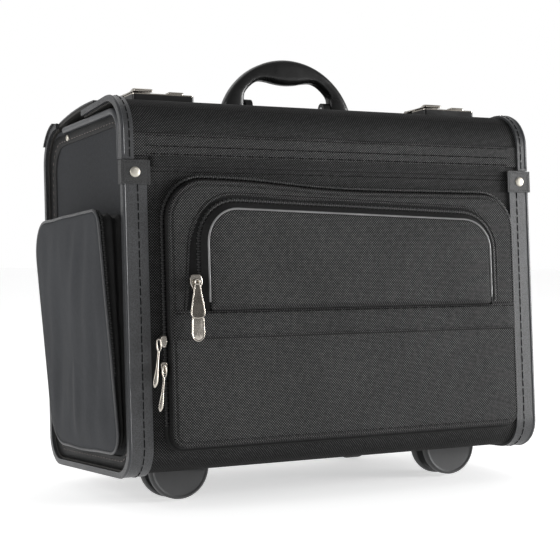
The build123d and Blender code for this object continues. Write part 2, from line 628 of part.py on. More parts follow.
def locks():
    """A lock and hasp near each end of the lids; both have the hasp to the left of the release."""
    starts = {"left": LOCK_CENTRE - LOCK_LENGTH / 2, "right": LENGTH - LOCK_CENTRE - LOCK_LENGTH / 2}
    made = {side: (lock(x0), hasp(x0)) for side, x0 in starts.items()}
    nodes = {
        "lock_bases": Compound(children=[made[side][0]["base"] for side in SIDES]),
        "lock_plates": Compound(children=[made[side][0]["plate"] for side in SIDES]),
        "hasp_plates": Compound(children=[made[side][1]["plate"] for side in SIDES]),
        "hasp_pins": Compound(children=[made[side][1]["pin"] for side in SIDES]),
    }
    for side in SIDES:
        nodes[f"key_cylinder_{side}"] = made[side][0]["cylinder"]
        nodes[f"lock_slide_{side}"] = made[side][0]["slide"]
        nodes[f"hasp_{side}"] = made[side][1]["hasp"]
    return nodes


# ---- Carry handle ----------------------------------------------------------------------------------
def carry_handle():
    """The moulded arch, the ears that it turns on, and the pins."""
    left = MIDDLE - HANDLE_OPENING
    right = MIDDLE + HANDLE_OPENING
    foot_z = HANDLE_PIVOT - HANDLE_END_RADIUS
    arch = Pos(MIDDLE, HANDLE_ARCH_CENTRE) * Circle(HANDLE_ARCH_RADIUS)
    arch &= Pos(MIDDLE, foot_z + 40) * Rectangle(200, 100)
    window = make_face(FilletPolyline(
        (left, foot_z - 5), (left, 378), (MIDDLE - 29, 395), (MIDDLE, 389.5), (MIDDLE + 29, 395),
        (right, 378), (right, foot_z - 5), radius=[0, 10, 8, 60, 8, 10, 0], close=True,
    ))
    half = HANDLE_END_RADIUS
    side = SlotCenterPoint((HANDLE_Y, 400), (HANDLE_Y, HANDLE_PIVOT), 2 * half)
    across = extrude(Plane.YZ.offset(MIDDLE - 100) * side, amount=200)
    arm = extrude(Plane.XZ.offset(-HANDLE_Y - 2 * half) * (arch - window), amount=4 * half) & across
    ear_from = left + 0.6
    ear_to = ear_from + HANDLE_EAR_WIDTH
    pin_from = left - 14
    pin = rod_x(pin_from, ear_to, HANDLE_Y, HANDLE_PIVOT, HANDLE_PIN_RADIUS)
    hole = rod_x(pin_from - 1, ear_from, HANDLE_Y, HANDLE_PIVOT, HANDLE_PIN_RADIUS + RUNNING_GAP)
    arm = arm - hole - mirrored(hole)
    ear = rod_x(ear_from, ear_to, HANDLE_Y, HANDLE_PIVOT, HANDLE_EAR_RADIUS)
    ear_middle = (ear_from + ear_to) / 2
    ear += column(ear_middle, HANDLE_Y, HANDLE_EAR_WIDTH, 2 * HANDLE_EAR_RADIUS, 350, HANDLE_PIVOT)
    ear += block(ear_from, ear_to + 8, HANDLE_Y - 9, HANDLE_Y + 9, 350, 358.6)
    ear = on_rear_lid(ear) - pin
    return {"carry_handle": arm, "handle_ears": both(ear), "handle_pins": both(pin)}


# ---- Assembly --------------------------------------------------------------------------------------
def build():
    """Every node of the case in case axes."""
    nodes = walls()
    for group in (hinge_patches, pockets, zips, feet_and_wheels, tow_handle, lids, locks, carry_handle):
        nodes |= group()
    return nodes


def standing(nodes):
    """Where the case goes: leaned back, then centred with its lowest point on the floor."""
    lean = Rot(X=-LEAN)
    box = Compound(children=[lean * shape for shape in nodes.values()]).bounding_box()
    return Pos(-box.center().X, -box.center().Y, -box.min.Z) * lean


NODES = build()
PLACE = standing(NODES)
os.makedirs("parts", exist_ok=True)
for node_name, node_shape in NODES.items():
    export_step(PLACE * node_shape, f"parts/{node_name}.step")
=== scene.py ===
"""Looks of the pilot rolling flight case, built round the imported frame.

Pieces are modelled in case axes, in millimetres: X from the left end, Y back from the front, Z up from the
underside. finish_piece() brings them into the frame, where the case leans back on its feet and wheels.
"""
import json
import math
import random

import bmesh
import bpy
from mathutils import Matrix, Vector, noise


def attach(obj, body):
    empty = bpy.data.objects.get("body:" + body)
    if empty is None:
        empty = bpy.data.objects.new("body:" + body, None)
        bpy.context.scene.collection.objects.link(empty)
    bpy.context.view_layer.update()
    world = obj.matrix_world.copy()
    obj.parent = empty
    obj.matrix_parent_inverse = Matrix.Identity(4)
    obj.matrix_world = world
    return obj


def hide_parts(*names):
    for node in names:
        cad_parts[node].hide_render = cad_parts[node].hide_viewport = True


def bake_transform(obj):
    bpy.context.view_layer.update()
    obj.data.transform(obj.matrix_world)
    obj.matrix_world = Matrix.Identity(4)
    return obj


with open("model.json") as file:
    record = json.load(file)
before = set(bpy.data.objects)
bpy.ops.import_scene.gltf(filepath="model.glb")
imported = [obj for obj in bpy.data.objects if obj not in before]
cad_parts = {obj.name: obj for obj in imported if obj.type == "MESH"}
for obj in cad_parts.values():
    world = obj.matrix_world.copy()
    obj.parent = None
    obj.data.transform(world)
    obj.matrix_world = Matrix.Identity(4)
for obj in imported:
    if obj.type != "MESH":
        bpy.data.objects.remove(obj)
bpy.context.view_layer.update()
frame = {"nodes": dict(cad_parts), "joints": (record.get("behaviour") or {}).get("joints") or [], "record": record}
NODES = frame["nodes"]

# ---- Case axes, from the underside mount and the rear lid's hinge --------------------------------
MM = 0.001
UNDERSIDE = next(m for m in frame["record"]["mounts"] if m["name"] == "underside")
HINGE = next(j for j in frame["joints"] if j["name"] == "rear_lid_open")
CASE_UP = -Vector(UNDERSIDE["axis"]).normalized()
CASE_BACK = CASE_UP.cross(Vector((1, 0, 0)))
HINGE_CASE = Vector((229.0, 182.0, 350.8))      # that hinge in case axes
TURN = Matrix(((1, 0, 0), CASE_BACK, CASE_UP)).transposed()
CASE = Matrix.Translation(Vector(HINGE["pos_m"]) - TURN @ (HINGE_CASE * MM)) @ (TURN * MM).to_4x4()
TO_CASE = CASE.inverted()
LEAN = math.atan2(CASE_UP.y, CASE_UP.z)

RIGHTWARD = Vector((1, 0, 0))
LEFTWARD = -RIGHTWARD
BACKWARD = Vector((0, 1, 0))
FORWARD = -BACKWARD
UP = Vector((0, 0, 1))


def case_box(*nodes):
    """(lowest corner, highest corner) of CAD nodes, in case axes and millimetres."""
    points = [TO_CASE @ v.co for n in nodes for v in NODES[n].data.vertices]
    return Vector(map(min, *points)), Vector(map(max, *points))


# ---- Shader building ---------------------------------------------------------------------------
MATERIALS = {}                                  # by name, filled as each Shader is made


class Shader:
    """A material's node tree, with short calls for the nodes used here."""

    def __init__(self, name, **sockets):
        MATERIALS[name] = bpy.data.materials.new(name)
        MATERIALS[name].use_nodes = True
        self.tree = MATERIALS[name].node_tree
        self.bsdf = self.tree.nodes["Principled BSDF"]
        for key, value in sockets.items():
            self.bsdf.inputs[key.replace("_", " ")].default_value = value

    def node(self, kind, *inputs, **settings):
        made = self.tree.nodes.new(kind)
        for key, value in settings.items():
            setattr(made, key, value)
        for index, value in enumerate(inputs):
            self.plug(made.inputs[index], value)
        return made

    def plug(self, socket, value):
        if isinstance(value, bpy.types.NodeSocket):
            self.tree.links.new(value, socket)
        elif value is not None:
            socket.default_value = value

    def math(self, operation, *inputs):
        return self.node("ShaderNodeMath", *inputs, operation=operation).outputs[0]

    def case_vector(self, output):
        """The texture coordinate or normal turned into case axes."""
        source = self.node("ShaderNodeTexCoord").outputs[output]
        turn = self.node("ShaderNodeVectorRotate", source, rotation_type="X_AXIS")
        self.plug(turn.inputs["Angle"], LEAN)
        return turn.outputs[0]

    def texture(self, kind, output, vector=None, **settings):
        made = self.node(kind)
        self.plug(made.inputs["Vector"], vector or self.case_vector("Object"))
        for key, value in settings.items():
            self.plug(made.inputs[key], value)
        return made.outputs[output]

    def noise(self, scale, detail=2.0, roughness=0.5, vector=None):
        return self.texture("ShaderNodeTexNoise", "Fac", vector, Scale=scale, Detail=detail,
                            Roughness=roughness)

    def cells(self, scale):
        return self.texture("ShaderNodeTexVoronoi", "Distance", Scale=scale)

    def remap(self, value, low, high, to_low=0.0, to_high=1.0):
        return self.node("ShaderNodeMapRange", value, low, high, to_low, to_high).outputs[0]

    def blend(self, factor, first, second):
        """A number that runs from first to second as the factor runs from 0 to 1."""
        return self.node("ShaderNodeMix", factor, None, first, second).outputs[0]

    def mix(self, factor, first, second):
        """A colour that runs from first to second as the factor runs from 0 to 1."""
        made = self.node("ShaderNodeMix", data_type="RGBA")
        self.plug(made.inputs["Factor"], factor)
        for socket, colour in ((made.inputs[6], first), (made.inputs[7], second)):
            self.plug(socket, colour if isinstance(colour, bpy.types.NodeSocket) else (*colour, 1.0))
        return made.outputs[2]

    def surface(self, colour, roughness, height=None, bump_mm=0.0):
        """Sets the colour, the roughness and, where a height is given, the bump."""
        self.plug(self.bsdf.inputs["Base Color"], colour)
        self.plug(self.bsdf.inputs["Roughness"], roughness)
        if height:
            bump = self.node("ShaderNodeBump")
            self.plug(bump.inputs["Height"], height)
            self.plug(bump.inputs["Distance"], bump_mm * MM)
            self.plug(self.bsdf.inputs["Normal"], bump.outputs[0])


def grey(value, tint=0.0):
    """A near-neutral colour; a positive tint makes it a little bluer."""
    return (value * (1 - tint), value * (1 - tint / 3), value * (1 + tint))


# ---- Materials -----------------------------------------------------------------------------------
def woven(name, gap, warp, weft, pitch, roughness, bump_mm, patchy=0.25, edge_on_shade=1.0, **sockets):
    """Plain-woven nylon: raised yarns that cross over and under, with dark gaps between them.

    The yarns run across and up the flattest face. The edge-on factor paints shade: it dims the cloth that faces
    neither front nor back, as if less light reached it.
    """
    shader = Shader(name, **sockets)
    place = shader.node("ShaderNodeSeparateXYZ", shader.case_vector("Object")).outputs
    facing = shader.node("ShaderNodeSeparateXYZ", shader.case_vector("Normal")).outputs
    x, y, z = (shader.math("ABSOLUTE", facing[i]) for i in range(3))
    end_on = shader.math("GREATER_THAN", x, shader.math("MAXIMUM", y, z))
    upright = shader.math("GREATER_THAN", shader.math("MAXIMUM", x, y), z)
    u = shader.math("DIVIDE", shader.blend(end_on, place[0], place[1]), pitch * MM)
    v = shader.math("DIVIDE", shader.blend(upright, place[1], place[2]), pitch * MM)
    yarns = shader.math("ADD", shader.math("FLOOR", u), shader.math("FLOOR", v))
    parity = shader.math("FLOORED_MODULO", yarns, 2.0)

    def arch(value):
        centred = shader.math("SUBTRACT", shader.math("FRACT", value), 0.5)
        return shader.math("COSINE", shader.math("MULTIPLY", centred, math.pi))

    across, along = arch(u), arch(v)
    warp_up = shader.math("MULTIPLY", across, shader.math("MULTIPLY_ADD", along, 0.45, 0.55))
    weft_up = shader.math("MULTIPLY", along, shader.math("MULTIPLY_ADD", across, 0.45, 0.55))
    over = shader.blend(parity, warp_up, weft_up)
    shade = shader.mix(shader.remap(over, 0.15, 0.95), gap, shader.mix(parity, warp, weft))
    fine = shader.remap(shader.noise(260.0, 3.0), 0.3, 0.7, 1 - patchy, 1 + patchy)
    broad = shader.remap(shader.noise(14.0), 0.3, 0.7, 0.9, 1.1)
    # Painted shade: the colour darkens as the cloth turns away from facing front or back, as if less light fell on
    # it.
    facing_shade = shader.remap(shader.math("POWER", y, 3.0), 0.0, 1.0, edge_on_shade, 1.0)
    scaled = shader.node("ShaderNodeVectorMath", shade, operation="SCALE")
    shader.plug(scaled.inputs["Scale"], shader.math("MULTIPLY", shader.math("MULTIPLY", fine, broad), facing_shade))
    rough = shader.remap(over, 0.0, 1.0, roughness + 0.2, roughness)
    shader.surface(scaled.outputs[0], rough, over, bump_mm)


def leathery(name, base, high, grain_mm, roughness, bump_mm, **sockets):
    """Embossed vinyl: small rounded pebbles with darker creases, and a worn, shinier upper face."""
    shader = Shader(name, **sockets)
    pebbles = shader.remap(shader.cells(1 / (grain_mm * MM)), 0.05, 0.75, 1.0, 0.0)
    fine = shader.noise(1.6 / (grain_mm * MM), 3.0)
    raised = shader.math("MULTIPLY_ADD", fine, 0.5, pebbles)
    worn = shader.remap(shader.noise(24.0, 3.0), 0.3, 0.7, roughness - 0.06, roughness + 0.08)
    rough = shader.math("ADD", worn, shader.remap(raised, 0.2, 1.3, 0.08, -0.04))
    shader.surface(shader.mix(shader.remap(raised, 0.3, 1.2), base, high), rough, raised, bump_mm)


def moulded(name, base, roughness, texture_mm, bump_mm, **sockets):
    """Injection-moulded plastic with a fine spark-eroded texture and faint handling marks."""
    shader = Shader(name, **sockets)
    marks = shader.noise(35.0, 4.0, 0.7)
    colour = shader.mix(shader.remap(marks, 0.35, 0.7), base, tuple(c * 1.35 for c in base))
    rough = shader.remap(marks, 0.3, 0.7, roughness - 0.05, roughness + 0.09)
    shader.surface(colour, rough, shader.noise(1 / (texture_mm * MM), 3.0, 0.65), bump_mm)


def plated(name, base, roughness, brushed=0.0, bump_mm=0.02):
    """Plated or brushed metal with small scratches and slightly cloudy patches."""
    shader = Shader(name, Metallic=1.0)
    along = (1.0, 1.0, 1 - 0.97 * brushed)
    stretch = shader.node("ShaderNodeVectorMath", shader.case_vector("Object"), along, operation="MULTIPLY")
    lines = shader.noise(1400.0, 3.0, vector=stretch.outputs[0])
    cloudy = shader.noise(120.0, 3.0)
    colour = shader.mix(shader.remap(cloudy, 0.35, 0.7), base, tuple(c * 0.8 for c in base))
    rough = shader.math("ADD", shader.remap(cloudy, 0.3, 0.7, roughness - 0.04, roughness + 0.1),
                        shader.remap(lines, 0.3, 0.7, -0.03, 0.05))
    shader.surface(colour, rough, lines, bump_mm)


def speckled(name, base, high, texture, band, roughness, bump_mm):
    """A matt surface with paler specks: the short fibres of hardboard, or the dusty scuffs of a tyre."""
    shader = Shader(name)
    specks = shader.noise(*texture)
    colour = shader.mix(shader.remap(specks, *band), base, high)
    shader.surface(colour, shader.remap(specks, 0.3, 0.7, *roughness), specks, bump_mm)


def make_materials():
    """The materials of the record's slots, and then those of single nodes and pieces."""
    # An edge-on factor below 1 paints shade on cloth that faces up, down or sideways.
    woven("ballistic_nylon", grey(0.0), grey(0.006), grey(0.130), 1.3, 0.6, 0.15, edge_on_shade=0.2,
          Specular_IOR_Level=0.12)
    woven("end_nylon", grey(0.020, 0.08), grey(0.032, 0.08), grey(0.046, 0.08), 0.55, 0.65, 0.04, patchy=0.1,
          Specular_IOR_Level=0.25)
    woven("lining", grey(0.010), grey(0.018), grey(0.026), 0.5, 0.8, 0.04, Specular_IOR_Level=0.25)
    speckled("board", (0.014, 0.013, 0.012), (0.030, 0.028, 0.025), (420.0, 6.0, 0.75), (0.3, 0.7),
             (0.75, 0.9), 0.1)
    leathery("trim_vinyl", grey(0.026, 0.03), grey(0.060, 0.05), 0.9, 0.36, 0.09)
    leathery("bar_vinyl", grey(0.026, 0.08), grey(0.040, 0.08), 0.7, 0.33, 0.02)
    plated("nickel", (0.50, 0.465, 0.415), 0.17, bump_mm=0.003)
    plated("steel", (0.55, 0.55, 0.56), 0.3)
    moulded("zip_teeth", grey(0.010), 0.35, 0.2, 0.02)
    moulded("black_plastic", grey(0.006), 0.30, 0.35, 0.03, Specular_IOR_Level=0.36)
    speckled("tyre", grey(0.012), grey(0.035), (160.0, 5.0, 0.7), (0.45, 0.75), (0.7, 0.88), 0.06)
    plated("tube_aluminium", (0.44, 0.445, 0.45), 0.30, brushed=1.0, bump_mm=0.006)

    # Painted shade: a darker copy of ballistic_nylon for the walls and the front lid, standing in for the shade
    # that falls on them.
    woven("shaded_wall_nylon", grey(0.0), grey(0.005), grey(0.088), 1.3, 0.6, 0.15, edge_on_shade=0.2,
          Specular_IOR_Level=0.10)
    woven("end_panel_nylon", grey(0.014, 0.08), grey(0.023, 0.08), grey(0.033, 0.08), 0.55, 0.65, 0.04,
          patchy=0.15, Specular_IOR_Level=0.22)
    moulded("thread_black", grey(0.002), 0.8, 0.3, 0.02, Specular_IOR_Level=0.1)
    leathery("patch_vinyl", grey(0.016), grey(0.040, 0.03), 0.9, 0.42, 0.09, Specular_IOR_Level=0.4)
    leathery("band_vinyl", grey(0.003), grey(0.010), 0.9, 0.48, 0.08, Specular_IOR_Level=0.18)
    plated("shaded_nickel", (0.17, 0.155, 0.135), 0.22, bump_mm=0.003)
    plated("satin_nickel", (0.60, 0.57, 0.50), 0.42, bump_mm=0.01)
    # Painted light: a paler copy of black_plastic for the feet, as if lit by light bounced up from the floor.
    moulded("foot_plastic", grey(0.032, 0.02), 0.5, 0.4, 0.04)
    moulded("thread_grey", (0.10, 0.085, 0.080), 0.6, 0.3, 0.02)
    woven("zip_tape", grey(0.003), grey(0.008), grey(0.012), 0.6, 0.75, 0.05, Specular_IOR_Level=0.25)
    moulded("piping", grey(0.15), 0.18, 0.6, 0.02)
    woven("gusset", grey(0.003), grey(0.010), grey(0.020), 0.9, 0.6, 0.10, Specular_IOR_Level=0.3)


# The walls' and the front lid's cloth takes the darker copy of the nylon, which paints shade on them.
OWN_LOOKS = {"body_cover": "shaded_wall_nylon", "front_lid_cover": "shaded_wall_nylon", "end_covers": "end_panel_nylon",
             "hinge_patches": "patch_vinyl"}


def dress_cad_nodes():
    """Gives each CAD node that stays the material of its slot in the record, or one of its own."""
    for obj in NODES.values():
        for slot in obj.material_slots:
            name = slot.material.name.split(".")[0] if slot.material else ""
            if name in MATERIALS:
                slot.material = MATERIALS[name]
    for node, look in OWN_LOOKS.items():
        NODES[node].material_slots[0].material = MATERIALS[look]


# ---- Mesh building, in case axes ------------------------------------------------------------------
def finish_piece(name, bm, body, slot, look=None, replaces=(), rule=None, levels=0):
    """Turns a bmesh in case millimetres into a piece of the frame that rides on a body.

    It has the slot's own material unless a look is named. A rule moves every point first.
    """
    if rule:
        warp(bm.verts, rule)
    bmesh.ops.recalc_face_normals(bm, faces=bm.faces)
    mesh = bpy.data.meshes.new(name)
    bm.to_mesh(mesh)
    bm.free()
    mesh.transform(CASE)
    mesh.materials.append(MATERIALS[look or slot])
    mesh.polygons.foreach_set("use_smooth", [True] * len(mesh.polygons))
    obj = bpy.data.objects.new(name, mesh)
    bpy.context.scene.collection.objects.link(obj)
    if levels:
        modifier = obj.modifiers.new("subdivision", "SUBSURF")
        modifier.levels = modifier.render_levels = levels
    if body:
        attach(obj, body)
    if replaces:
        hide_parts(*replaces)
    return obj


def warp(verts, rule):
    """Moves vertices by a rule."""
    for vert in verts:
        vert.co = rule(vert.co)


def loft(bm, rings, closed=True, looped=False, cap_start=False, cap_end=False):
    """Joins rings of equally many points with quads. A looped loft comes back to its first ring."""
    rows = [[bm.verts.new(p) for p in ring] for ring in rings]
    count = len(rows[0])
    for low, high in zip(rows, rows[1:] + (rows[:1] if looped else [])):
        for i in range(count if closed else count - 1):
            j = (i + 1) % count
            bm.faces.new((low[i], low[j], high[j], high[i]))
    if cap_start:
        bm.faces.new(rows[0])
    if cap_end:
        bm.faces.new(rows[-1])


def capped(bm, rings):
    """A loft closed at both ends."""
    loft(bm, rings, cap_start=True, cap_end=True)


def clamp(value, low=0.0, high=1.0):
    return min(max(value, low), high)


def ramp(value, start, end, most=1.0):
    """0 up to start, then 1 at end, and on to most."""
    return clamp((value - start) / (end - start), 0.0, most)


def turns(count):
    """Evenly spaced angles round a circle."""
    return [2 * math.pi * k / count for k in range(count)]


def oval(centre, side, up, sides):
    """Points round an ellipse with the half axes side and up."""
    return [centre + side * math.cos(a) + up * math.sin(a) for a in turns(sides)]


def turned(at, out, steps, sides):
    """Rings of a round head that stands out from a place, one for each step of (radius, height)."""
    side = RIGHTWARD if abs(out.x) < 0.5 else BACKWARD
    up = side.cross(out)
    return [oval(at + out * height, side * radius, up * radius, sides) for radius, height in steps]


def arc(centre, radius, start, sweep, step=5.0):
    """Points along an arc in a plane, angles in degrees."""
    count = max(2, math.ceil(abs(sweep) / step))
    angles = [math.radians(start + sweep * i / count) for i in range(count + 1)]
    return [(centre[0] + radius * math.cos(a), centre[1] + radius * math.sin(a)) for a in angles]


def spaced(points, pitch, closed=False, count=None):
    """(point, tangent) pairs along a polyline, count steps apart or else about a pitch apart."""
    chain = list(points) + ([points[0]] if closed else [])
    lengths = [0.0]
    for a, b in zip(chain, chain[1:]):
        lengths.append(lengths[-1] + (b - a).length)
    count = count or max(1, round(lengths[-1] / pitch))
    placed = []
    k = 0
    for i in range(count if closed else count + 1):
        s = lengths[-1] * i / count
        while k < len(chain) - 2 and lengths[k + 1] < s:
            k += 1
        t = (s - lengths[k]) / max(lengths[k + 1] - lengths[k], 1e-9)
        placed.append((chain[k].lerp(chain[k + 1], t), (chain[k + 1] - chain[k]).normalized()))
    return placed


def smooth_line(knots, count):
    """A Catmull-Rom line through the knots, evenly resampled to count points."""
    chain = [knots[0]] + list(knots) + [knots[-1]]
    dense = []
    for p0, p1, p2, p3 in zip(chain, chain[1:], chain[2:], chain[3:]):
        for k in range(12):
            t = k / 12
            dense.append(0.5 * (2 * p1 + (p2 - p0) * t + (2 * p0 - 5 * p1 + 4 * p2 - p3) * t * t
                                + (3 * p1 - p0 - 3 * p2 + p3) * t ** 3))
    dense.append(knots[-1])
    return [p for p, _ in spaced(dense, None, count=count - 1)]


def rounded(limits, radii, grow=0.0, step=4.0):
    """(point, outward normal) pairs round a rounded rectangle, grown outward.

    radii: low-left, low-right, top-right, top-left.
    """
    left, right, low, high = limits
    corners = [((left, low), radii[0], 180, (1, 1)), ((right, low), radii[1], 270, (-1, 1)),
               ((right, high), radii[2], 0, (-1, -1)), ((left, high), radii[3], 90, (1, -1))]
    loop = []
    for (x, z), radius, start, (sx, sz) in corners:
        centre = (x + sx * radius, z + sz * radius)
        for point in arc(centre, radius, start, 90, 9.0):
            loop.append((Vector(point), (Vector(point) - Vector(centre)).normalized()))
    dense = []
    for (p, n), (q, m) in zip(loop, loop[1:] + loop[:1]):
        count = max(1, round((q - p).length / step))
        dense += [(p.lerp(q, i / count), n.lerp(m, i / count).normalized()) for i in range(count)]
    return [(p + n * grow, n) for p, n in dense]


def tube(bm, points, radius, sides=8, closed=False, up=FORWARD):
    """A round cord along points that never run in the direction up."""
    count = len(points)
    rings = []
    for i, p in enumerate(points):
        before, after = points[max(i - 1, 0)], points[min(i + 1, count - 1)]
        if closed:
            before, after = points[i - 1], points[(i + 1) % count]
        tangent = (after - before).normalized()
        side = tangent.cross(up).normalized()
        rings.append(oval(p, side * radius, side.cross(tangent).normalized() * radius, sides))
    loft(bm, rings, looped=closed, cap_start=not closed, cap_end=not closed)


THREAD = random.Random(11)
STITCH_SECTIONS = ((-1, 0.35, -0.5), (-0.8, 1.0, 0.3), (0.0, 0.8, 0.4), (0.8, 1.0, 0.3), (1, 0.35, -0.5))


def stitches(bm, points, normal, pitch=8.6, length=7.2, radius=0.5, closed=False):
    """A row of thread stitches along points. normal is a Vector, or gives one for a point."""
    for p, tangent in spaced(points, pitch, closed):
        out = normal(p) if callable(normal) else normal
        side = tangent.cross(out).normalized()
        half = length * THREAD.uniform(0.46, 0.54)
        lean = THREAD.uniform(-0.12, 0.12)
        rings = []
        for share, thick, lift in STITCH_SECTIONS:
            centre = p + tangent * (half * share) + side * (lean * share) + out * (radius * lift)
            rings.append(oval(centre, side * (radius * thick), out * (radius * thick), 5))
        capped(bm, rings)


TOOTH_SECTIONS = ((-0.32, 0.55), (-0.2, 1.0), (0.22, 1.0), (0.5, 0.7))
TOOTH_OUTLINE = ((-1, -1), (1, -1), (1, 0.7), (0.6, 1), (-0.6, 1), (-1, 0.7))


def teeth(bm, points, normal, pitch=2.3, width=3.4, depth=1.7):
    """Moulded zip teeth across a line of points, alternately from one side and the other."""
    long, high = pitch * 0.36, depth / 2
    for i, (p, tangent) in enumerate(spaced(points, pitch)):
        out = normal(p) if callable(normal) else normal
        side = tangent.cross(out).normalized() * (1 if i % 2 else -1)
        rings = []
        for across, share in TOOTH_SECTIONS:
            centre = p + side * (width * across)
            rings.append([centre + tangent * (long * share * u) + out * (high * share * w)
                          for u, w in TOOTH_OUTLINE])
        capped(bm, rings)


# ---- Driving dimensions, in case millimetres ------------------------------------------------------
TRIMS_LOW, TRIMS_HIGH = case_box("body_trims")
LEFT_END = TRIMS_LOW.x + 1.0                    # the wall's own end, 1 mm inside the bead
RIGHT_END = TRIMS_HIGH.x - 1.0
MIDDLE = (LEFT_END + RIGHT_END) / 2
DEPTH = TRIMS_HIGH.y
HEIGHT = case_box("front_lid_trims")[1].z
HINGE_Z = case_box("front_lid_trims")[0].z - 0.5
BOTTOM_RADIUS = 30.0
FRONT_TOP_RADIUS = 38.0
REAR_TOP_RADIUS = 42.0
REAR_CORE = (DEPTH - REAR_TOP_RADIUS, HINGE_CASE.z - 0.8 - REAR_TOP_RADIUS)
TRIM_WIDTH = 23.0
LID_TRIM_WIDTH = 11.0
COVER_DEPTH = 2.5                               # nylon lies this far below the trims
LID_EDGE = (106.0, 4.0)                         # where the front lid ends, and how far it falls to there
REAR_LID = ((80.0, 358.5), (181.5, HINGE_CASE.z - 0.3))     # (Y, Z) of its front and back edges
REAR_LID_CROWN = 2.45
INSIDE_TRIMS = (TRIM_WIDTH + 2, RIGHT_END - TRIM_WIDTH - 2)


def mirrored(points):
    """The same points on the other half of the case."""
    return [Vector((2 * MIDDLE - p.x, p.y, p.z)) for p in points]


def away(p, y, z):
    """The direction to a point from a line along X."""
    return Vector((0, p.y - y, p.z - z)).normalized()


def body_line(x, depth=0.0, start=HINGE_Z):
    """Down the front wall, under the case and up the rear wall at one X, from a height on the front."""
    low = BOTTOM_RADIUS - depth
    flat = [(depth, start)]
    flat += arc((BOTTOM_RADIUS, BOTTOM_RADIUS), low, 180, 90)
    flat += arc((DEPTH - BOTTOM_RADIUS, BOTTOM_RADIUS), low, 270, 90)
    flat += arc(REAR_CORE, REAR_TOP_RADIUS - depth, 0, 88)
    return [Vector((x, y, z)) for y, z in flat]


def body_normal(p):
    y = clamp(p.y, BOTTOM_RADIUS, REAR_CORE[0] if p.z > HEIGHT / 2 else DEPTH - BOTTOM_RADIUS)
    return away(p, y, clamp(p.z, BOTTOM_RADIUS, REAR_CORE[1]))


def lid_line(x, depth=0.0, start=HINGE_Z + 1, end=LID_EDGE[0]):
    """Up the front lid, round its corner and back over its top at one X."""
    edge, fall = LID_EDGE
    corner = (FRONT_TOP_RADIUS, HEIGHT - FRONT_TOP_RADIUS)
    flat = [(depth, start)] + arc(corner, FRONT_TOP_RADIUS - depth, 180, -90)
    flat += [(end, HEIGHT - depth - fall * (end - FRONT_TOP_RADIUS) / (edge - FRONT_TOP_RADIUS))]
    return [Vector((x, y, z)) for y, z in flat]


def lid_normal(p):
    return away(p, max(p.y, FRONT_TOP_RADIUS), min(p.z, HEIGHT - FRONT_TOP_RADIUS))


def rear_lid_line(x, depth=0.0, start=82.0, end=180.0):
    """Back over the crowned rear lid at one X."""
    (front, front_z), (back, back_z) = REAR_LID
    points = []
    for i in range(25):
        y = start + (end - start) * i / 24
        t = (y - front) / (back - front)
        z = front_z * (1 - t) + back_z * t + 4 * REAR_LID_CROWN * t * (1 - t) - depth
        points.append(Vector((x, y, z)))
    return points


# ---- Seams and stitching on the walls -------------------------------------------------------------
def wall_stitching():
    """Thread rows down the trims, across the lids by the hinges, and on the rear lid's two edges."""

    def across(y, z):
        return [Vector((x, y, z)) for x in INSIDE_TRIMS]

    body_rows = [across(COVER_DEPTH, HINGE_Z - 10.0)]
    lid_rows = [across(COVER_DEPTH - 0.9, HINGE_Z + rise) for rise in (6.2, 13.5, 23.4)]
    rear_rows = [[rear_lid_line(x, 1.5, y, y + 1)[0] for x in INSIDE_TRIMS] for y in (84.0, 177.0)]
    body_trim, lid_trim = body_line(14.0, 0.0, HINGE_Z - 26), lid_line(7.0, 0.0, HINGE_Z + 6.0)
    for name, body, trim_row, normal, rows, out, radius in (
        ("body_stitches", "case", body_trim, body_normal, body_rows, FORWARD, 0.5),
        ("front_lid_stitches", "front_lid", lid_trim, lid_normal, lid_rows, FORWARD, 0.5),
        ("rear_lid_stitches", "rear_lid", rear_lid_line(14.0), UP, rear_rows, UP, 0.34),
    ):
        bm = bmesh.new()
        stitches(bm, trim_row, normal)
        stitches(bm, mirrored(trim_row), normal)
        for row in rows:
            stitches(bm, row, out, 3.4, 2.3, radius)
        finish_piece(name, bm, body, "ballistic_nylon", "thread_black")


def edge_beads():
    """The glossy rolled bead that runs along the outer edge of every trim; here it is made on the body's and the
    front lid's trims.
    """
    x = LEFT_END + 0.9
    for name, body, line in (("body_beads", "case", body_line(x, 1.0, HINGE_Z - 4)),
                             ("front_lid_beads", "front_lid", lid_line(x, 1.0, HINGE_Z + 3, 100.0))):
        bm = bmesh.new()
        for path in (line, mirrored(line)):
            tube(bm, [p for p, _ in spaced(path, 4.0)], 1.7, 10, up=LEFTWARD)
        finish_piece(name, bm, body, "bar_vinyl")


def lid_welt():
    """The doubled strip sewn across the front lid above its hinge, slightly rippled along both edges."""
    rings = []
    left, right = LEFT_END + LID_TRIM_WIDTH + 0.5, RIGHT_END - LID_TRIM_WIDTH - 0.5
    for i in range(91):
        x = left + (right - left) * i / 90
        wave = 0.7 * noise.noise(Vector((x / 60, 2.0, 5.0)))
        lift = 0.25 * noise.noise(Vector((x / 17, 8.0, 1.0)))
        front = COVER_DEPTH - 1.1 - lift
        low, high = HINGE_Z + 3.6 + wave, HINGE_Z + 26.0 - wave * 1.5
        rings.append([Vector((x, y, z)) for y, z in (
            (COVER_DEPTH + 0.3, low), (front + 0.5, low), (front, low + 0.8), (front + 0.35, low + 5),
            (front + 0.2 + lift, low + 11), (front + 0.35, high - 5), (front, high - 0.8),
            (front + 0.5, high), (COVER_DEPTH + 0.3, high))])
    bm = bmesh.new()
    loft(bm, rings, closed=False)
    finish_piece("front_lid_welt", bm, "front_lid", "ballistic_nylon")


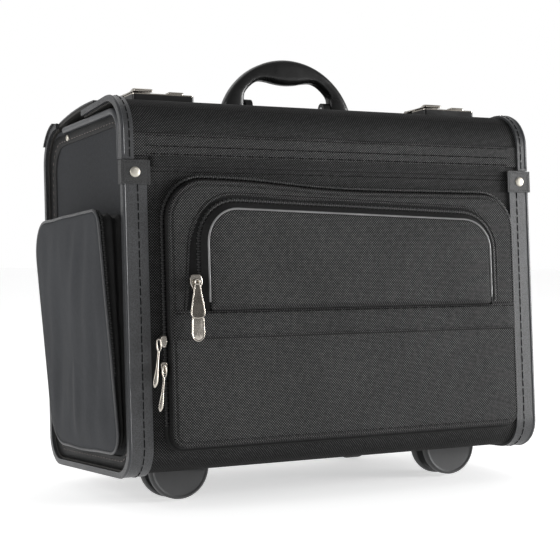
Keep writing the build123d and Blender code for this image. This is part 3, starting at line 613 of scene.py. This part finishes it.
def patch_stitching():
    """A small row of stitches just inside the edges of the front hinge patches."""
    front = case_box("hinge_patches")[0].y
    top, low = HINGE_Z - 2.5, HINGE_Z - 20.5
    loop = [Vector((x, front, z)) for x, z in ((0.5, top), (24.0, top), (24.0, low), (0.5, low))]
    bm = bmesh.new()
    for corners in (loop, mirrored(loop)):
        stitches(bm, corners, FORWARD, 3.0, 2.0, 0.3, closed=True)
    finish_piece("patch_stitches", bm, "case", "trim_vinyl", "patch_vinyl")


def hinge_fabric():
    """The nylon that runs on across both hinge lines, with a soft fold along the front one."""
    front = []
    for dz in range(-6, 7):
        fold = 0.9 * math.exp(-(dz / 1.6) ** 2) - 0.35 * math.cos(dz / 6 * math.pi / 2)
        front.append((COVER_DEPTH - 0.5 + fold, HINGE_Z + 0.25 + dz))
    rear = [(p.y, p.z) for p in rear_lid_line(0.0, 1.0, 174.0, 181.0)[::8]]
    rear += arc(REAR_CORE, REAR_TOP_RADIUS - 1.9, 86, -12, 3.0)
    left, right = LEFT_END + TRIM_WIDTH + 3.5, RIGHT_END - TRIM_WIDTH - 3.5
    thickness = 0.45
    for lid, section, out, (start, end) in (
        ("front_lid", front, FORWARD, ((0, HINGE_Z - 2.75), (0, HINGE_Z + 3.25))),
        ("rear_lid", rear, UP, ((185.0, HINGE_CASE.z), (178.0, HINGE_CASE.z))),
    ):
        rings = []
        for i in range(61):
            x = left + (right - left) * i / 60
            top = [Vector((x, y, z)) for y, z in section]
            rings.append(top + [p - out * thickness for p in top[::-1]])
        bm = bmesh.new()
        capped(bm, rings)
        # Its look is the darker copy of the wall nylon, with shade painted in.
        obj = finish_piece(lid.replace("lid", "hinge_fabric"), bm, None, "ballistic_nylon", "shaded_wall_nylon")
        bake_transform(obj)


# ---- Front pockets -------------------------------------------------------------------------------
LARGE_RADII = (14, 14, 38, 38)
SMALL_RADII = (3, 3, 40, 40)
FACE_SHARES = (0.03, 0.07, 0.13, 0.2, 0.28, 0.37, 0.47, 0.58, 0.7, 0.83, 0.96)


def front_limits(node):
    """Left, right, low and high of a CAD node seen from the front."""
    low, high = case_box(node)
    return low.x, high.x, low.z, high.z


def front_rings(limits, radii, levels, foot=-math.inf):
    """Upright rounded rectangles, one for each (growth, depth), cut off level at the foot."""
    return [[Vector((p.x, y, max(p.y, foot))) for p, _ in rounded(limits, radii, grow)] for grow, y in levels]


def pocket_face(rings, limits, crown, wrinkle, tucked=False):
    """Adds rings that close a pocket's face towards its long middle line, crowned and slightly creased.

    A tucked face runs on level behind the flap at its foot, instead of curving in there.
    """
    left, right, low, high = limits
    half = (high - low) / 2
    middle = (low + high) / 2
    edge = rings[-1]
    for share in FACE_SHARES:
        ring = []
        for p in edge:
            q = p.lerp(Vector((clamp(p.x, left + half, right - half), p.y, middle)), share)
            inside = share
            if tucked and q.z < middle:
                inside = min(1.0, (q.x - left) / half, (right - q.x) / half)
            lift = crown * (1 - (1 - inside) ** 3) + wrinkle(q) * min(1.0, share * 6)
            ring.append(Vector((q.x, q.y - lift, q.z)))
        rings.append(ring)
    return rings


def front_slump(p):
    """How the large pocket hangs: its top edge is peaked at the left corner and sags to the right.

    Its foot stays where it is, and the higher a point lies, the further it moves.
    """
    peak, fall = 5.0, 9.0
    beyond = 1 / (1 + math.exp(-(p.x - 165) / 26))
    return Vector((p.x, p.y, p.z + ramp(p.z, 60, 270, 1.1) ** 2 * (peak - fall * beyond)))


def upper_slump(p):
    """The smaller pocket's top edge runs slightly downhill to the right."""
    rise, fall = 6.0, 11.0
    return Vector((p.x, p.y, p.z + ramp(p.z, 153, 251, 1.1) * (rise - fall * (p.x - 75) / 325)))


def band_slump(p):
    """The zip band of the smaller pocket flares outward down its left side."""
    flare = 8.0 * ramp(p.z, 245, 150) * ramp(p.x, 70, 64)
    q = upper_slump(p)
    return Vector((q.x - flare, q.y, q.z))


def front_pocket():
    """The large pocket: its gusset, turned edge with a seam groove, and a gently filled face."""
    limits = front_limits("front_pocket")
    levels = [(0.0, COVER_DEPTH - 0.2), (0.6, -1.0), (0.2, -5.5), (-0.4, -8.4), (-1.6, -10.0), (-3.0, -10.6),
              (-3.7, -10.1), (-4.3, -10.1), (-5.0, -10.7), (-7.0, -11.0)]

    def wrinkle(q):
        soft = noise.noise(Vector((q.x / 70, 3.1, q.z / 45)))
        drape = noise.noise(Vector((q.x / 22, 7.7, q.z / 150)))
        below = max(0.0, 1 - (q.z - limits[2]) / 90)
        return 0.7 * soft + 0.6 * drape * below

    bm = bmesh.new()
    loft(bm, pocket_face(front_rings(limits, LARGE_RADII, levels), limits, 0.7, wrinkle), cap_end=True)
    shell = finish_piece("front_pocket_shell", bm, "case", "ballistic_nylon", replaces=["front_pocket"],
                         rule=front_slump)
    bm = bmesh.new()
    seam = front_rings(limits, LARGE_RADII, [(-5.8, -10.55)])[0]
    stitches(bm, seam, FORWARD, 3.6, 2.5, 0.34, closed=True)
    finish_piece("front_pocket_stitches", bm, "case", "ballistic_nylon", "thread_black", rule=front_slump)


def upper_pocket():
    """The smaller pocket: a turned lip, sloping smooth zip tape, pale piping and a padded face."""
    left, right, low, high = front_limits("upper_pocket")
    behind_flap = 14.0
    limits = (left, right, low - behind_flap, high)
    foot = low - 2.0
    base = case_box("front_pocket")[0].y + 1.0
    lip = [(6.6, base), (6.3, base - 1.3), (5.2, base - 1.9), (4.0, base - 1.8), (3.2, base - 1.0)]
    tape = [(4.2, base - 1.1), (1.6, base - 1.4), (0.0, base - 1.9), (-2.5, base - 3.5), (-5.0, base - 5.8),
            (-7.0, base - 7.6), (-8.6, base - 8.6)]
    for name, levels, slot, look in (("upper_pocket_lip", lip, "ballistic_nylon", None),
                                     ("upper_zip_tape", tape, "zip_teeth", "zip_tape")):
        bm = bmesh.new()
        loft(bm, front_rings(limits, SMALL_RADII, levels, foot))
        finish_piece(name, bm, "case", slot, look, rule=band_slump)
    band_width = 9
    inner = (left + band_width, right - band_width, foot, high - band_width)
    inner_radii = (4, 4, 31, 31)
    bm = bmesh.new()
    tube(bm, above_foot(front_rings(inner, inner_radii, [(0.0, base - 9.2)])[0], foot + 4), 1.0, 10)
    finish_piece("upper_pocket_piping", bm, "case", "bar_vinyl", "piping", rule=upper_slump)
    edge = [(0.0, base - 6.5), (-0.6, base - 8.6), (-1.4, base - 9.3), (-3.0, base - 9.6)]

    def wrinkle(q):
        return 0.5 * noise.noise(Vector((q.x / 60, 11.3, q.z / 40)))

    rings = front_rings(inner, inner_radii, edge)
    bm = bmesh.new()
    loft(bm, pocket_face(rings, inner, 1.6, wrinkle, tucked=True), cap_end=True)
    shell = finish_piece("upper_pocket_shell", bm, "case", "ballistic_nylon", replaces=["upper_pocket"],
                         rule=upper_slump)


def above_foot(loop, height):
    """The part of a closed loop above a height, from its left foot over the top to its right foot."""
    above = [p.z > height for p in loop]
    start = next(i for i in range(len(loop)) if above[i] and not above[i - 1])
    run = []
    for k in range(len(loop)):
        p = loop[(start + k) % len(loop)]
        if p.z <= height:
            break
        run.append(p)
    return run


def pocket_flap():
    """The band across the pocket: a folded top edge, a stitched lower edge and a slight ripple."""
    low, high = case_box("pocket_flap")
    left, right = (x + inset for x, inset in zip(front_limits("front_pocket"), (4, -4)))
    behind = -10.4
    section = [(-10.6, high.z + 0.4), (-12.4, high.z + 0.9), (-13.2, high.z), (-13.0, high.z - 1.6),
               (-12.6, high.z - 6), (-12.5, high.z - 13), (-12.5, low.z + 6), (-12.7, low.z + 3.0),
               (-12.6, low.z + 0.8), (-11.8, low.z), (behind, low.z + 0.4)]
    rings = []
    count = 96
    for i in range(count + 1):
        x = left + (right - left) * i / count
        close = 0.3 + 0.7 * min(1.0, min(i, count - i) / 2)
        ripple = 0.5 * noise.noise(Vector((x / 40, 0.5, 0.5)))
        rings.append([Vector((x, behind + (y - behind) * close + 0.5 * ripple, z + 0.6 * ripple))
                      for y, z in section])
    bm = bmesh.new()
    loft(bm, rings, closed=False)
    finish_piece("pocket_flap_band", bm, "case", "ballistic_nylon", replaces=["pocket_flap"])
    bm = bmesh.new()
    for z, y in ((high.z - 2.6, -12.95), (low.z + 2.6, -12.7)):
        stitches(bm, [Vector((left + 2, y, z)), Vector((right - 2, y, z))], FORWARD, 3.4, 2.4, 0.34)
    finish_piece("flap_stitches", bm, "case", "ballistic_nylon", "thread_black")


def front_zips():
    """Moulded teeth of both front zips along the left side, the top and the right side of each pocket."""
    large, small = front_limits("front_pocket"), front_limits("upper_pocket")
    bm = bmesh.new()
    teeth(bm, above_foot(front_rings(large, LARGE_RADII, [(2.6, -3.4)])[0], 46.0), FORWARD)
    warp(bm.verts, front_slump)
    large_count = len(bm.verts)
    teeth(bm, above_foot(front_rings(small, SMALL_RADII, [(-1.0, -13.6)])[0], small[2] + 2), FORWARD)
    warp(list(bm.verts)[large_count:], upper_slump)
    finish_piece("front_zip_teeth", bm, "case", "zip_teeth", replaces=["zip_tracks"])
    bm = bmesh.new()
    levels = [(3.4, COVER_DEPTH), (3.3, 0.0), (2.9, -1.6), (1.9, -2.4), (1.0, -2.5), (-0.6, -2.6)]
    loft(bm, front_rings(large, LARGE_RADII, levels))
    finish_piece("front_zip_tape", bm, "case", "zip_teeth", "zip_tape", rule=front_slump)


# ---- Left end pocket ------------------------------------------------------------------------------
def side_pocket():
    """The wedge pocket on the left end: tilted face, piped edge, pleated gusset and its zip."""
    low, high = case_box("side_pocket")
    wall_x = high.x - 0.1
    foot_x = -5.0
    loop = []
    for p, n in rounded((low.y, high.y, low.z, high.z), (22, 34, 38, 13)):
        wobble = noise.noise(Vector((p.x / 48, p.y / 48, 6.4)))
        loop.append((p + n * (1.3 * wobble - 0.4), n))

    def face_x(z):
        return foot_x + (low.x - foot_x) * ramp(z, low.z, high.z)

    def ring(grow, share, pleat=0.0, out=0.0):
        made = []
        for p, n in loop:
            depth = wall_x - face_x(p.y)
            inward = pleat * depth / 26 * (0.6 + 0.4 * noise.noise(Vector((p.x / 18, p.y / 18, 4.2))))
            q = p + n * (grow - inward)
            made.append(Vector((wall_x - depth * share - out, q.x, q.y)))
        return made

    gusset = [(-3.0, 0.0, 0.0), (-2.6, 0.08, 0.5), (-3.2, 0.18, 4.5), (-2.6, 0.28, 6.0), (-2.0, 0.38, 2.5),
              (-1.6, 0.46, 0.8), (-1.8, 0.54, 3.5), (-1.6, 0.64, 5.0), (-1.0, 0.74, 2.0), (-0.6, 0.82, 0.6),
              (-0.4, 0.92, 0.4), (-0.8, 0.99, 0.2)]
    bm = bmesh.new()
    loft(bm, [ring(*row) for row in gusset])
    finish_piece("side_pocket_gusset", bm, "case", "ballistic_nylon", "gusset")
    bm = bmesh.new()
    tube(bm, ring(0.0, 1.0), 1.5, closed=True, up=LEFTWARD)
    finish_piece("side_pocket_piping", bm, "case", "trim_vinyl")
    rings = [ring(-0.6, 0.97), ring(-1.4, 1.0, out=0.6), ring(-3.5, 1.0, out=1.2)]
    edge = rings[-1]
    half = (high.y - low.y) / 2
    for share in FACE_SHARES:
        made = []
        for p in edge:
            q = p.lerp(Vector((p.x, low.y + half, clamp(p.z, low.z + half, high.z - half))), share)
            slant = q.y + 0.25 * q.z
            drape = noise.noise(Vector((slant / 50, q.z / 80, 2.2)))
            drape += 0.7 * noise.noise(Vector((slant / 17, q.z / 110, 9.0)))
            crown = 1.2 + 1.8 * (1 - (1 - share) ** 3)
            made.append(Vector((face_x(q.z) - crown - 3.0 * drape * min(1, share * 4), q.y, q.z)))
        rings.append(made)
    bm = bmesh.new()
    loft(bm, rings, cap_end=True)
    face = finish_piece("side_pocket_shell", bm, "case", "end_nylon", replaces=["side_pocket"])

    def outward(p):
        inset = 26.0
        return away(p, clamp(p.y, low.y + inset, high.y - inset), clamp(p.z, low.z + inset, high.z - inset))

    bm = bmesh.new()
    teeth(bm, above_foot(ring(0.2, 0.86), low.z + 70), outward, 2.3, 3.0, 1.4)
    finish_piece("side_zip_teeth", bm, "case", "zip_teeth")


# ---- Ends ----------------------------------------------------------------------------------------
def end_bands():
    """The vinyl binding that frames each end panel, with its inner row of pale stitches."""
    low, high = case_box("end_covers")
    left, right, foot, top = low.y + 0.2, high.y - 0.2, low.z + 0.2, high.z - 4.5
    edge = [p for p, _ in rounded((left, right, foot, top), (22, 22, 30, 22))]
    inner = (left + 7.0, right - 21.0, foot + 13.0, top - 11.0)
    inside = [Vector((inner[0] + (p.x - left) * (inner[1] - inner[0]) / (right - left),
                      inner[2] + (p.y - foot) * (inner[3] - inner[2]) / (top - foot))) for p in edge]
    bm, thread = bmesh.new(), bmesh.new()
    for x, out in ((low.x, LEFTWARD), (high.x, RIGHTWARD)):

        def line(share, lift):
            """Round the band, a share of the way from its outer edge to its inner one."""
            return [Vector((x, *p.lerp(q, share))) + out * lift for p, q in zip(edge, inside)]

        loft(bm, [line(0.0, 0.0), line(0.01, 0.9), line(0.93, 1.2), line(0.985, 1.0), line(1.0, 0.0)])
        stitches(thread, line(0.62, 1.1), out, 7.6, 3.4, 0.5, closed=True)
    finish_piece("end_bands", bm, "case", "trim_vinyl", "band_vinyl")
    finish_piece("end_band_stitches", thread, "case", "trim_vinyl", "thread_grey")


PATCH_RIVET = ((5.0, -0.3), (5.0, 0.3), (4.75, 0.7), (4.3, 1.0), (3.4, 1.25), (2.2, 1.45), (0.8, 1.5))
END_RIVET = ((3.2, -0.2), (3.2, 1.5), (2.6, 2.1), (1.2, 2.5))
END_RIVET_PLACE = (158.0, 332.0)


def rivets():
    """Domed rivets through each hinge patch and under the bar at the top of each end."""
    slant = Vector((0, 1, 1)).normalized()
    rear = Vector((0, *REAR_CORE)) + slant * (REAR_TOP_RADIUS + 1.8)
    front_y = case_box("hinge_patches")[0].y
    bm = bmesh.new()
    for x in (LEFT_END + 11.0, RIGHT_END - 11.0):
        loft(bm, turned(Vector((x, front_y, HINGE_Z - 11.5)), FORWARD, PATCH_RIVET, 32), cap_end=True)
        loft(bm, turned(Vector((x, rear.y, rear.z)), slant, PATCH_RIVET, 32), cap_end=True)
    finish_piece("patch_rivet_heads", bm, "case", "nickel", "satin_nickel", ["patch_rivets"])
    low, high = case_box("end_covers")
    bm = bmesh.new()
    for x, out in ((low.x, LEFTWARD), (high.x, RIGHTWARD)):
        loft(bm, turned(Vector((x, *END_RIVET_PLACE)), out, END_RIVET, 24), cap_end=True)
    finish_piece("end_rivet_heads", bm, "case", "nickel", "satin_nickel")


# ---- Carry handle --------------------------------------------------------------------------------
def carry_handle():
    """The moulded handle: a soft-edged arch, thick at the grip, with a parting line and rounded feet."""
    low, high = case_box("carry_handle")
    middle = (low + high) / 2
    radius = 80.9
    centre_z = high.z - radius
    rounding = 8.0                              # of the feet under the arch
    foot = low.z + rounding
    window = 51.0
    left = [Vector(p) for p in (
        (-window, foot), (-window, 374.0), (-50.2, 378.3), (-47.5, 382.3), (-43.5, 386.3), (-38.0, 390.2),
        (-31.0, 392.6), (-22.0, 392.0), (-11.0, 390.0), (0.0, 389.2))]
    inner = smooth_line(left + [Vector((-p.x, p.y)) for p in left[-2::-1]], 72)
    last = len(inner) - 1
    start = math.acos((foot - centre_z) / radius)
    angles = [-start + 2 * start * i / last for i in range(last + 1)]
    outer = [Vector((radius * math.sin(a), centre_z + radius * math.cos(a))) for a in angles]
    rings = []
    for i, (a, b) in enumerate(zip(inner, outer)):
        share = abs(2 * i / last - 1)
        thick = rounding + 1.6 * math.cos(min(share / 0.62, 1.0) * math.pi / 2)
        rings.append(handle_section(a, b, thick, middle))
    feet_rings = []
    for end in (0, last):
        feet_rings.append([])
        for t in (math.radians(angle) for angle in (25, 50, 70, 82)):
            drop = Vector((0, -rounding * math.sin(t)))
            across = (inner[end] + drop, outer[end] + drop)
            feet_rings[-1].append(handle_section(*across, rounding * math.cos(t), middle))
    bm = bmesh.new()
    capped(bm, feet_rings[0][::-1] + rings + feet_rings[1])
    finish_piece("carry_handle_grip", bm, "carry_handle", "black_plastic", replaces=["carry_handle"])


def handle_section(a, b, thick, middle):
    """A rounded-rectangle section between an inner and an outer point of the handle's side view."""
    centre, half = (a + b) / 2, (b - a) / 2
    squareness = 2 / 3.2
    ring = []
    for t in turns(28):
        c, s = math.cos(t), math.sin(t)
        u = math.copysign(abs(c) ** squareness, c)
        v = math.copysign(abs(s) ** squareness, s)
        groove = 0.35 * math.exp(-((v * thick) / 0.7) ** 2)
        flat = centre + half * (u * (1 - groove / max(half.length, 1.0)))
        ring.append(Vector((middle.x + flat.x, middle.y + v * thick, flat.y)))
    return ring


# ---- Zip pulls and sliders -----------------------------------------------------------------------
SHIELD = [(-2.6, 0.8), (-3.2, 2.6), (-8, 3.8), (-18, 5.6), (-27, 7.2), (-31, 7.3), (-34, 5.2), (-35, 0.8)]
TONGUE = [(-33.0, 0.8), (-33.6, 5.0), (-36.0, 6.2), (-44, 6.5), (-49, 6.7), (-53.0, 5.5), (-55.2, 3.2),
          (-56.2, 0.6)]


def pull_plate(bm, at, profile, thick, rim, dish, belly=0.0, face=None):
    """A cast plate hanging from at: rounded edges, a raised rim and a dished or bellied middle.

    profile: (height, half-width) pairs, top to bottom. The middle goes into the face mesh when one is given.
    """
    right = smooth_line([Vector((w, z)) for z, w in profile], len(profile) * 5)
    outline = right + [Vector((-p.x, p.y)) for p in right[::-1]]
    top, low = profile[0][0], profile[-1][0]
    widest = max(w for _, w in profile)
    back, front = thick / 2, -thick / 2

    def spine(p):
        return Vector((0, clamp(p.y, low + widest * 0.8, top - widest * 0.3)))

    def ring(inset, depth, share=0.0):
        """The outline moved in by an inset and then a share of the way to its spine, at a depth."""
        made = []
        for p in outline:
            out = p - spine(p)
            q = spine(p) + out * max(0.0, 1 - inset / max(out.length, 1e-6))
            q = q.lerp(spine(q), share)
            made.append(at + Vector((q.x, depth, q.y)))
        return made

    rings = [ring(0.9, back), ring(0.25, back - 0.1), ring(0.0, 0.0), ring(0.25, front + 0.1),
             ring(0.7, front), ring(rim, front), ring(rim + 0.4, front + dish)]
    if face:
        loft(bm, rings, cap_start=True)
        rings = rings[-1:]
    rings += [ring(rim + 0.4, front + dish - belly * share, share) for share in (0.35, 0.7)]
    loft(face or bm, rings, cap_start=not face, cap_end=True)


def zip_pulls():
    """Nickel pulls: on the front zips a long ring, a thin shank and a drop; above, a plate and a tongue."""
    for name in ("front_zip_upper", "front_zip_lower", "upper_zip"):
        low, high = case_box(f"{name}_pull")
        pivot = Vector(((low.x + high.x) / 2, (low.y + high.y) / 2, high.z - 2.0))
        length = pivot.z - low.z
        bm = bmesh.new()
        if name == "upper_zip":
            tube(bm, oval(pivot - UP * 1.2, RIGHTWARD * 2.4, UP * 2.2, 24), 0.9, closed=True)
            face = bmesh.new()
            pull_plate(bm, pivot, SHIELD, 1.7, 1.1, 0.9, face=face)
            finish_piece("upper_zip_pull_face", face, f"{name}_pull", "nickel", "shaded_nickel")
            pull_plate(bm, pivot + BACKWARD * 0.5, TONGUE, 1.4, 0.9, 0.3, belly=0.8)
        else:
            tube(bm, oval(pivot - UP * 5.0, RIGHTWARD * 2.0, UP * 5.6, 28), 0.8, closed=True)
            drop = [(9.5, 1.2), (12, 1.0), (length * 0.45, 1.1), (length * 0.6, 1.3), (length * 0.72, 1.9),
                    (length * 0.82, 2.4), (length * 0.9, 2.4), (length * 0.96, 1.7), (length - 0.3, 0.4)]
            capped(bm, [oval(pivot + Vector((-5.0 * (z / length) ** 1.6, 0, -z)), RIGHTWARD * w,
                             BACKWARD * (min(w, 1.3) * 0.75), 14) for z, w in drop])
        finish_piece(f"{name}_pull_plate", bm, f"{name}_pull", "nickel", replaces=[f"{name}_pull"], levels=1)


def rounded_block(bm, low, high, edge, place=Vector):
    """A box with rounded edges, in case axes; place may move its points."""
    middle, half = (low + high) / 2, (high - low) / 2
    rings = []
    for lift, shrink in ((-1, 1.0), (-1, 0.35), (-0.86, 0.0), (0.86, 0.0), (1, 0.35), (1, 1.0)):
        outline = rounded((-half.x, half.x, -half.z, half.z), (edge,) * 4, -edge * 0.5 * shrink, 1.5)
        rings.append([place(middle + Vector((p.x, half.y * lift, p.y))) for p, _ in outline])
    capped(bm, rings)


def slider_bodies():
    """Cast slider bodies: small ones on the front zips, a broad shield on the upper pocket's zip."""
    for name, half_width, height in (("front_zip_upper", 3.0, 11.0), ("front_zip_lower", 3.0, 11.0),
                                     ("upper_zip", 5.8, 15.0)):
        low, high = case_box(f"{name}_slider")
        front = low.y + 3.4
        x = high.x - 2.6
        top = (low.z + high.z) / 2 + height / 2

        def taper(q):
            share = ramp(q.z, top, top - height)
            waist = 0.25 * max(0.0, share - 0.7) / 0.3
            wide = 0.78 + 0.3 * math.sin(math.pi * min(share * 1.25, 1.0)) - waist
            return Vector((x + (q.x - x) * wide, q.y, q.z))

        bm = bmesh.new()
        rounded_block(bm, Vector((x - half_width, front, top - height)),
                      Vector((x + half_width, front + 4.5, top)), 1.6, taper)
        finish_piece(f"{name}_slider_body", bm, f"{name}_slider", "nickel", replaces=[f"{name}_slider"],
                     levels=1)


# ---- Locks, feet and screws ----------------------------------------------------------------------
def locks():
    """On each lock a pressed hasp, from its knuckle to a rounded cap, and the raised cap of its release."""
    for side in ("left", "right"):
        low, high = case_box(f"hasp_{side}")
        base = high.z - 6.6
        knuckle = high.y - 2.9
        cap_end, cap_centre = 54.0, Vector((48.5, base + 3.0))
        profile = [(knuckle, 2.9), (knuckle - 4, 2.7), (62.0, 2.6), (55.5, 2.8), (53.5, 4.0), (51.0, 4.8),
                   (47.0, 4.7), (44.6, 3.9), (43.8, 2.4), (44.2, 1.2), (47.0, 1.3), (62.0, 1.3),
                   (knuckle, 1.3)]
        rings = []
        for share, shrink in ((-1, 0.5), (-0.97, 0.12), (-0.85, 0.0), (0.85, 0.0), (0.97, 0.12), (1, 0.5)):
            x = (low.x + high.x) / 2 + (high.x - low.x) / 2 * share
            ring = []
            for y, z in profile:
                drawn_in = shrink * 0.5 if y < cap_end else 0.0
                ring.append(Vector((x, *Vector((y, base + z)).lerp(cap_centre, drawn_in))))
            rings.append(ring)
        bm = bmesh.new()
        capped(bm, rings)
        tube(bm, [Vector((low.x + 6.6, knuckle, base)), Vector((high.x - 6.6, knuckle, base))], 2.9, 20)
        finish_piece(f"hasp_{side}_cap", bm, f"hasp_{side}", "nickel", replaces=[f"hasp_{side}"])
        low, high = case_box(f"lock_slide_{side}")
        bm = bmesh.new()
        rounded_block(bm, Vector((low.x - 0.5, low.y + 0.5, high.z - 1.6)),
                      Vector((high.x + 0.5, high.y - 0.5, high.z + 1.4)), 1.2)
        finish_piece(f"release_{side}_cap", bm, f"lock_slide_{side}", "nickel")


def feet():
    """Front feet: a thick half-round front plate with a raised rim, a web and a rear plate."""
    for side in ("left", "right"):
        low, high = case_box(f"foot_{side}")
        x, radius = (low.x + high.x) / 2, (high.x - low.x) / 2
        bm = bmesh.new()

        def disc(front, back, size, edge):
            rings = []
            flat, soft = size - edge, size - edge * 0.3
            for y, r in ((front, flat - 3.0), (front, flat - 1.4), (front - 0.5, flat - 1.0),
                         (front - 0.5, flat), (front + edge * 0.3, soft), (front + edge, size),
                         (back - edge, size), (back - edge * 0.3, soft), (back, flat)):
                ring = oval(Vector((x, y, low.z + radius)), RIGHTWARD * r, UP * r, 72)
                rings.append([Vector((q.x, q.y, min(q.z, COVER_DEPTH))) for q in ring])
            capped(bm, rings)

        disc(low.y + 0.5, low.y + 8.5, radius, 1.6)
        disc(low.y + 7.0, high.y - 7.0, radius * 0.62, 0.4)
        disc(high.y - 8.0, high.y, radius, 1.6)
        # The feet take the paler copy of the black plastic, with light painted in.
        finish_piece(f"foot_{side}_plates", bm, "case", "black_plastic", "foot_plastic", [f"foot_{side}"])


def screw_heads():
    """Cross-recessed pan heads that hold the tow handle's brackets to the rear wall."""
    bm = bmesh.new()
    for bracket in ("tow_upper_bracket", "tow_lower_bracket"):
        low, high = case_box(bracket)
        for x in (low.x + 8, MIDDLE - 40, MIDDLE + 40, high.x - 8):
            at = Vector((x, high.y, (low.z + high.z) / 2))
            rings = turned(at, BACKWARD, ((3.9, -0.4), (3.9, 0.4), (3.5, 1.2), (2.6, 1.7), (1.9, 1.8)), 24)
            for height in (1.8, 1.2):
                deep = at + BACKWARD * height
                rings.append([deep + (p - deep) * (1.7 if k % 6 == 0 else 0.5)
                              for k, p in enumerate(oval(deep, RIGHTWARD, UP, 24))])
            loft(bm, rings, cap_end=True)
    finish_piece("bracket_screws", bm, "case", "steel")


BEVELS = {
    0.35: ("lock_plates", "hasp_plates", "lock_slide_left", "lock_slide_right"),
    0.5: ("hinge_patches", "rear_lid_trims", "tow_outer_tubes", "tow_middle_tubes", "tow_inner_tubes"),
    0.8: ("lock_bases", "handle_ears", "body_trims", "front_lid_trims", "wheel_housing_left",
          "wheel_housing_right", "tow_button"),
    1.2: ("tow_grip", "tow_upper_bracket", "tow_lower_bracket"),
}


def soften_edges():
    """Small rounded edges on the moulded and pressed parts, which catch the light."""
    for width, names in BEVELS.items():
        for name in names:
            bevel = NODES[name].modifiers.new("edges", "BEVEL")
            bevel.width = width * MM
            bevel.segments = 3
            bevel.limit_method = "ANGLE"
            bevel.angle_limit = math.radians(40)
            bevel.use_clamp_overlap = True


# ---- Stage ---------------------------------------------------------------------------------------
def build_camera():
    """The photograph's view: from the left of the front, a little above the middle of the case."""
    data = bpy.data.cameras.new("camera")
    data.sensor_width = 36.0
    data.lens = 88.55
    camera = bpy.data.objects.new("camera", data)
    bpy.context.scene.collection.objects.link(camera)
    place = Matrix.Translation((-0.6776, -1.2837, 0.2573))
    heading, tilt, roll = (math.radians(a) for a in (27.76, -1.90, 0.2))
    turn = Matrix.Rotation(-heading, 4, "Z") @ Matrix.Rotation(math.pi / 2 + tilt, 4, "X")
    camera.matrix_world = place @ turn @ Matrix.Rotation(roll, 4, "Z")
    bpy.context.scene.camera = camera


def area_light(name, at, target, size, power):
    data = bpy.data.lights.new(name, "AREA")
    data.shape = "RECTANGLE"
    data.size, data.size_y = size
    data.energy = power
    light = bpy.data.objects.new(name, data)
    light.location = at
    light.rotation_mode = "QUATERNION"
    light.rotation_quaternion = (Vector(target) - Vector(at)).to_track_quat("-Z", "Y")
    bpy.context.scene.collection.objects.link(light)


def build_world():
    """A world that is white behind the case and dimmer in front."""
    world = bpy.data.worlds.new("studio")
    world.use_nodes = True
    tree = world.node_tree
    facing = tree.nodes.new("ShaderNodeVectorMath")
    facing.operation = "DOT_PRODUCT"
    facing.inputs[1].default_value = (0.466, 0.885, 0.0)
    tree.links.new(tree.nodes.new("ShaderNodeTexCoord").outputs["Generated"], facing.inputs[0])
    fade = tree.nodes.new("ShaderNodeMapRange")
    for socket, value in (("From Min", 0.3), ("From Max", 0.85), ("To Min", 0.30), ("To Max", 1.0)):
        fade.inputs[socket].default_value = value
    tree.links.new(facing.outputs["Value"], fade.inputs["Value"])
    background = tree.nodes["Background"]
    background.inputs["Color"].default_value = (1.0, 1.0, 1.0, 1.0)
    tree.links.new(fade.outputs[0], background.inputs["Strength"])
    bpy.context.scene.world = world
    bpy.context.scene.view_settings.view_transform = "Standard"


def build_stage():
    """A pale floor and three soft lights."""
    mesh = bpy.data.meshes.new("floor")
    bm = bmesh.new()
    bmesh.ops.create_circle(bm, cap_ends=True, segments=96, radius=9.0)
    bm.to_mesh(mesh)
    bm.free()
    floor = bpy.data.objects.new("floor", mesh)
    bpy.context.scene.collection.objects.link(floor)
    shader = Shader("floor", Emission_Color=(1.0, 1.0, 1.0, 1.0), Emission_Strength=0.56)
    shader.surface(shader.mix(shader.noise(3.0), (0.86, 0.86, 0.86), (0.9, 0.9, 0.9)), 0.75)
    mesh.materials.append(MATERIALS["floor"])
    area_light("left_softbox", (-2.4, -0.2, 0.9), (-0.1, 0, 0.2), (1.0, 1.6), 27)
    area_light("right_softbox", (2.8, -1.3, 0.5), (0.1, 0, 0.2), (1.2, 1.2), 112)
    area_light("top_softbox", (0.2, 0.9, 2.4), (0, 0, 0.2), (1.8, 1.0), 6)


for build in (make_materials, build_camera, build_world, build_stage, dress_cad_nodes, soften_edges,
              wall_stitching, edge_beads, lid_welt, patch_stitching, hinge_fabric, front_pocket, upper_pocket,
              pocket_flap, front_zips, side_pocket, end_bands, rivets, carry_handle, zip_pulls, slider_bodies,
              locks, feet, screw_heads):
    build()
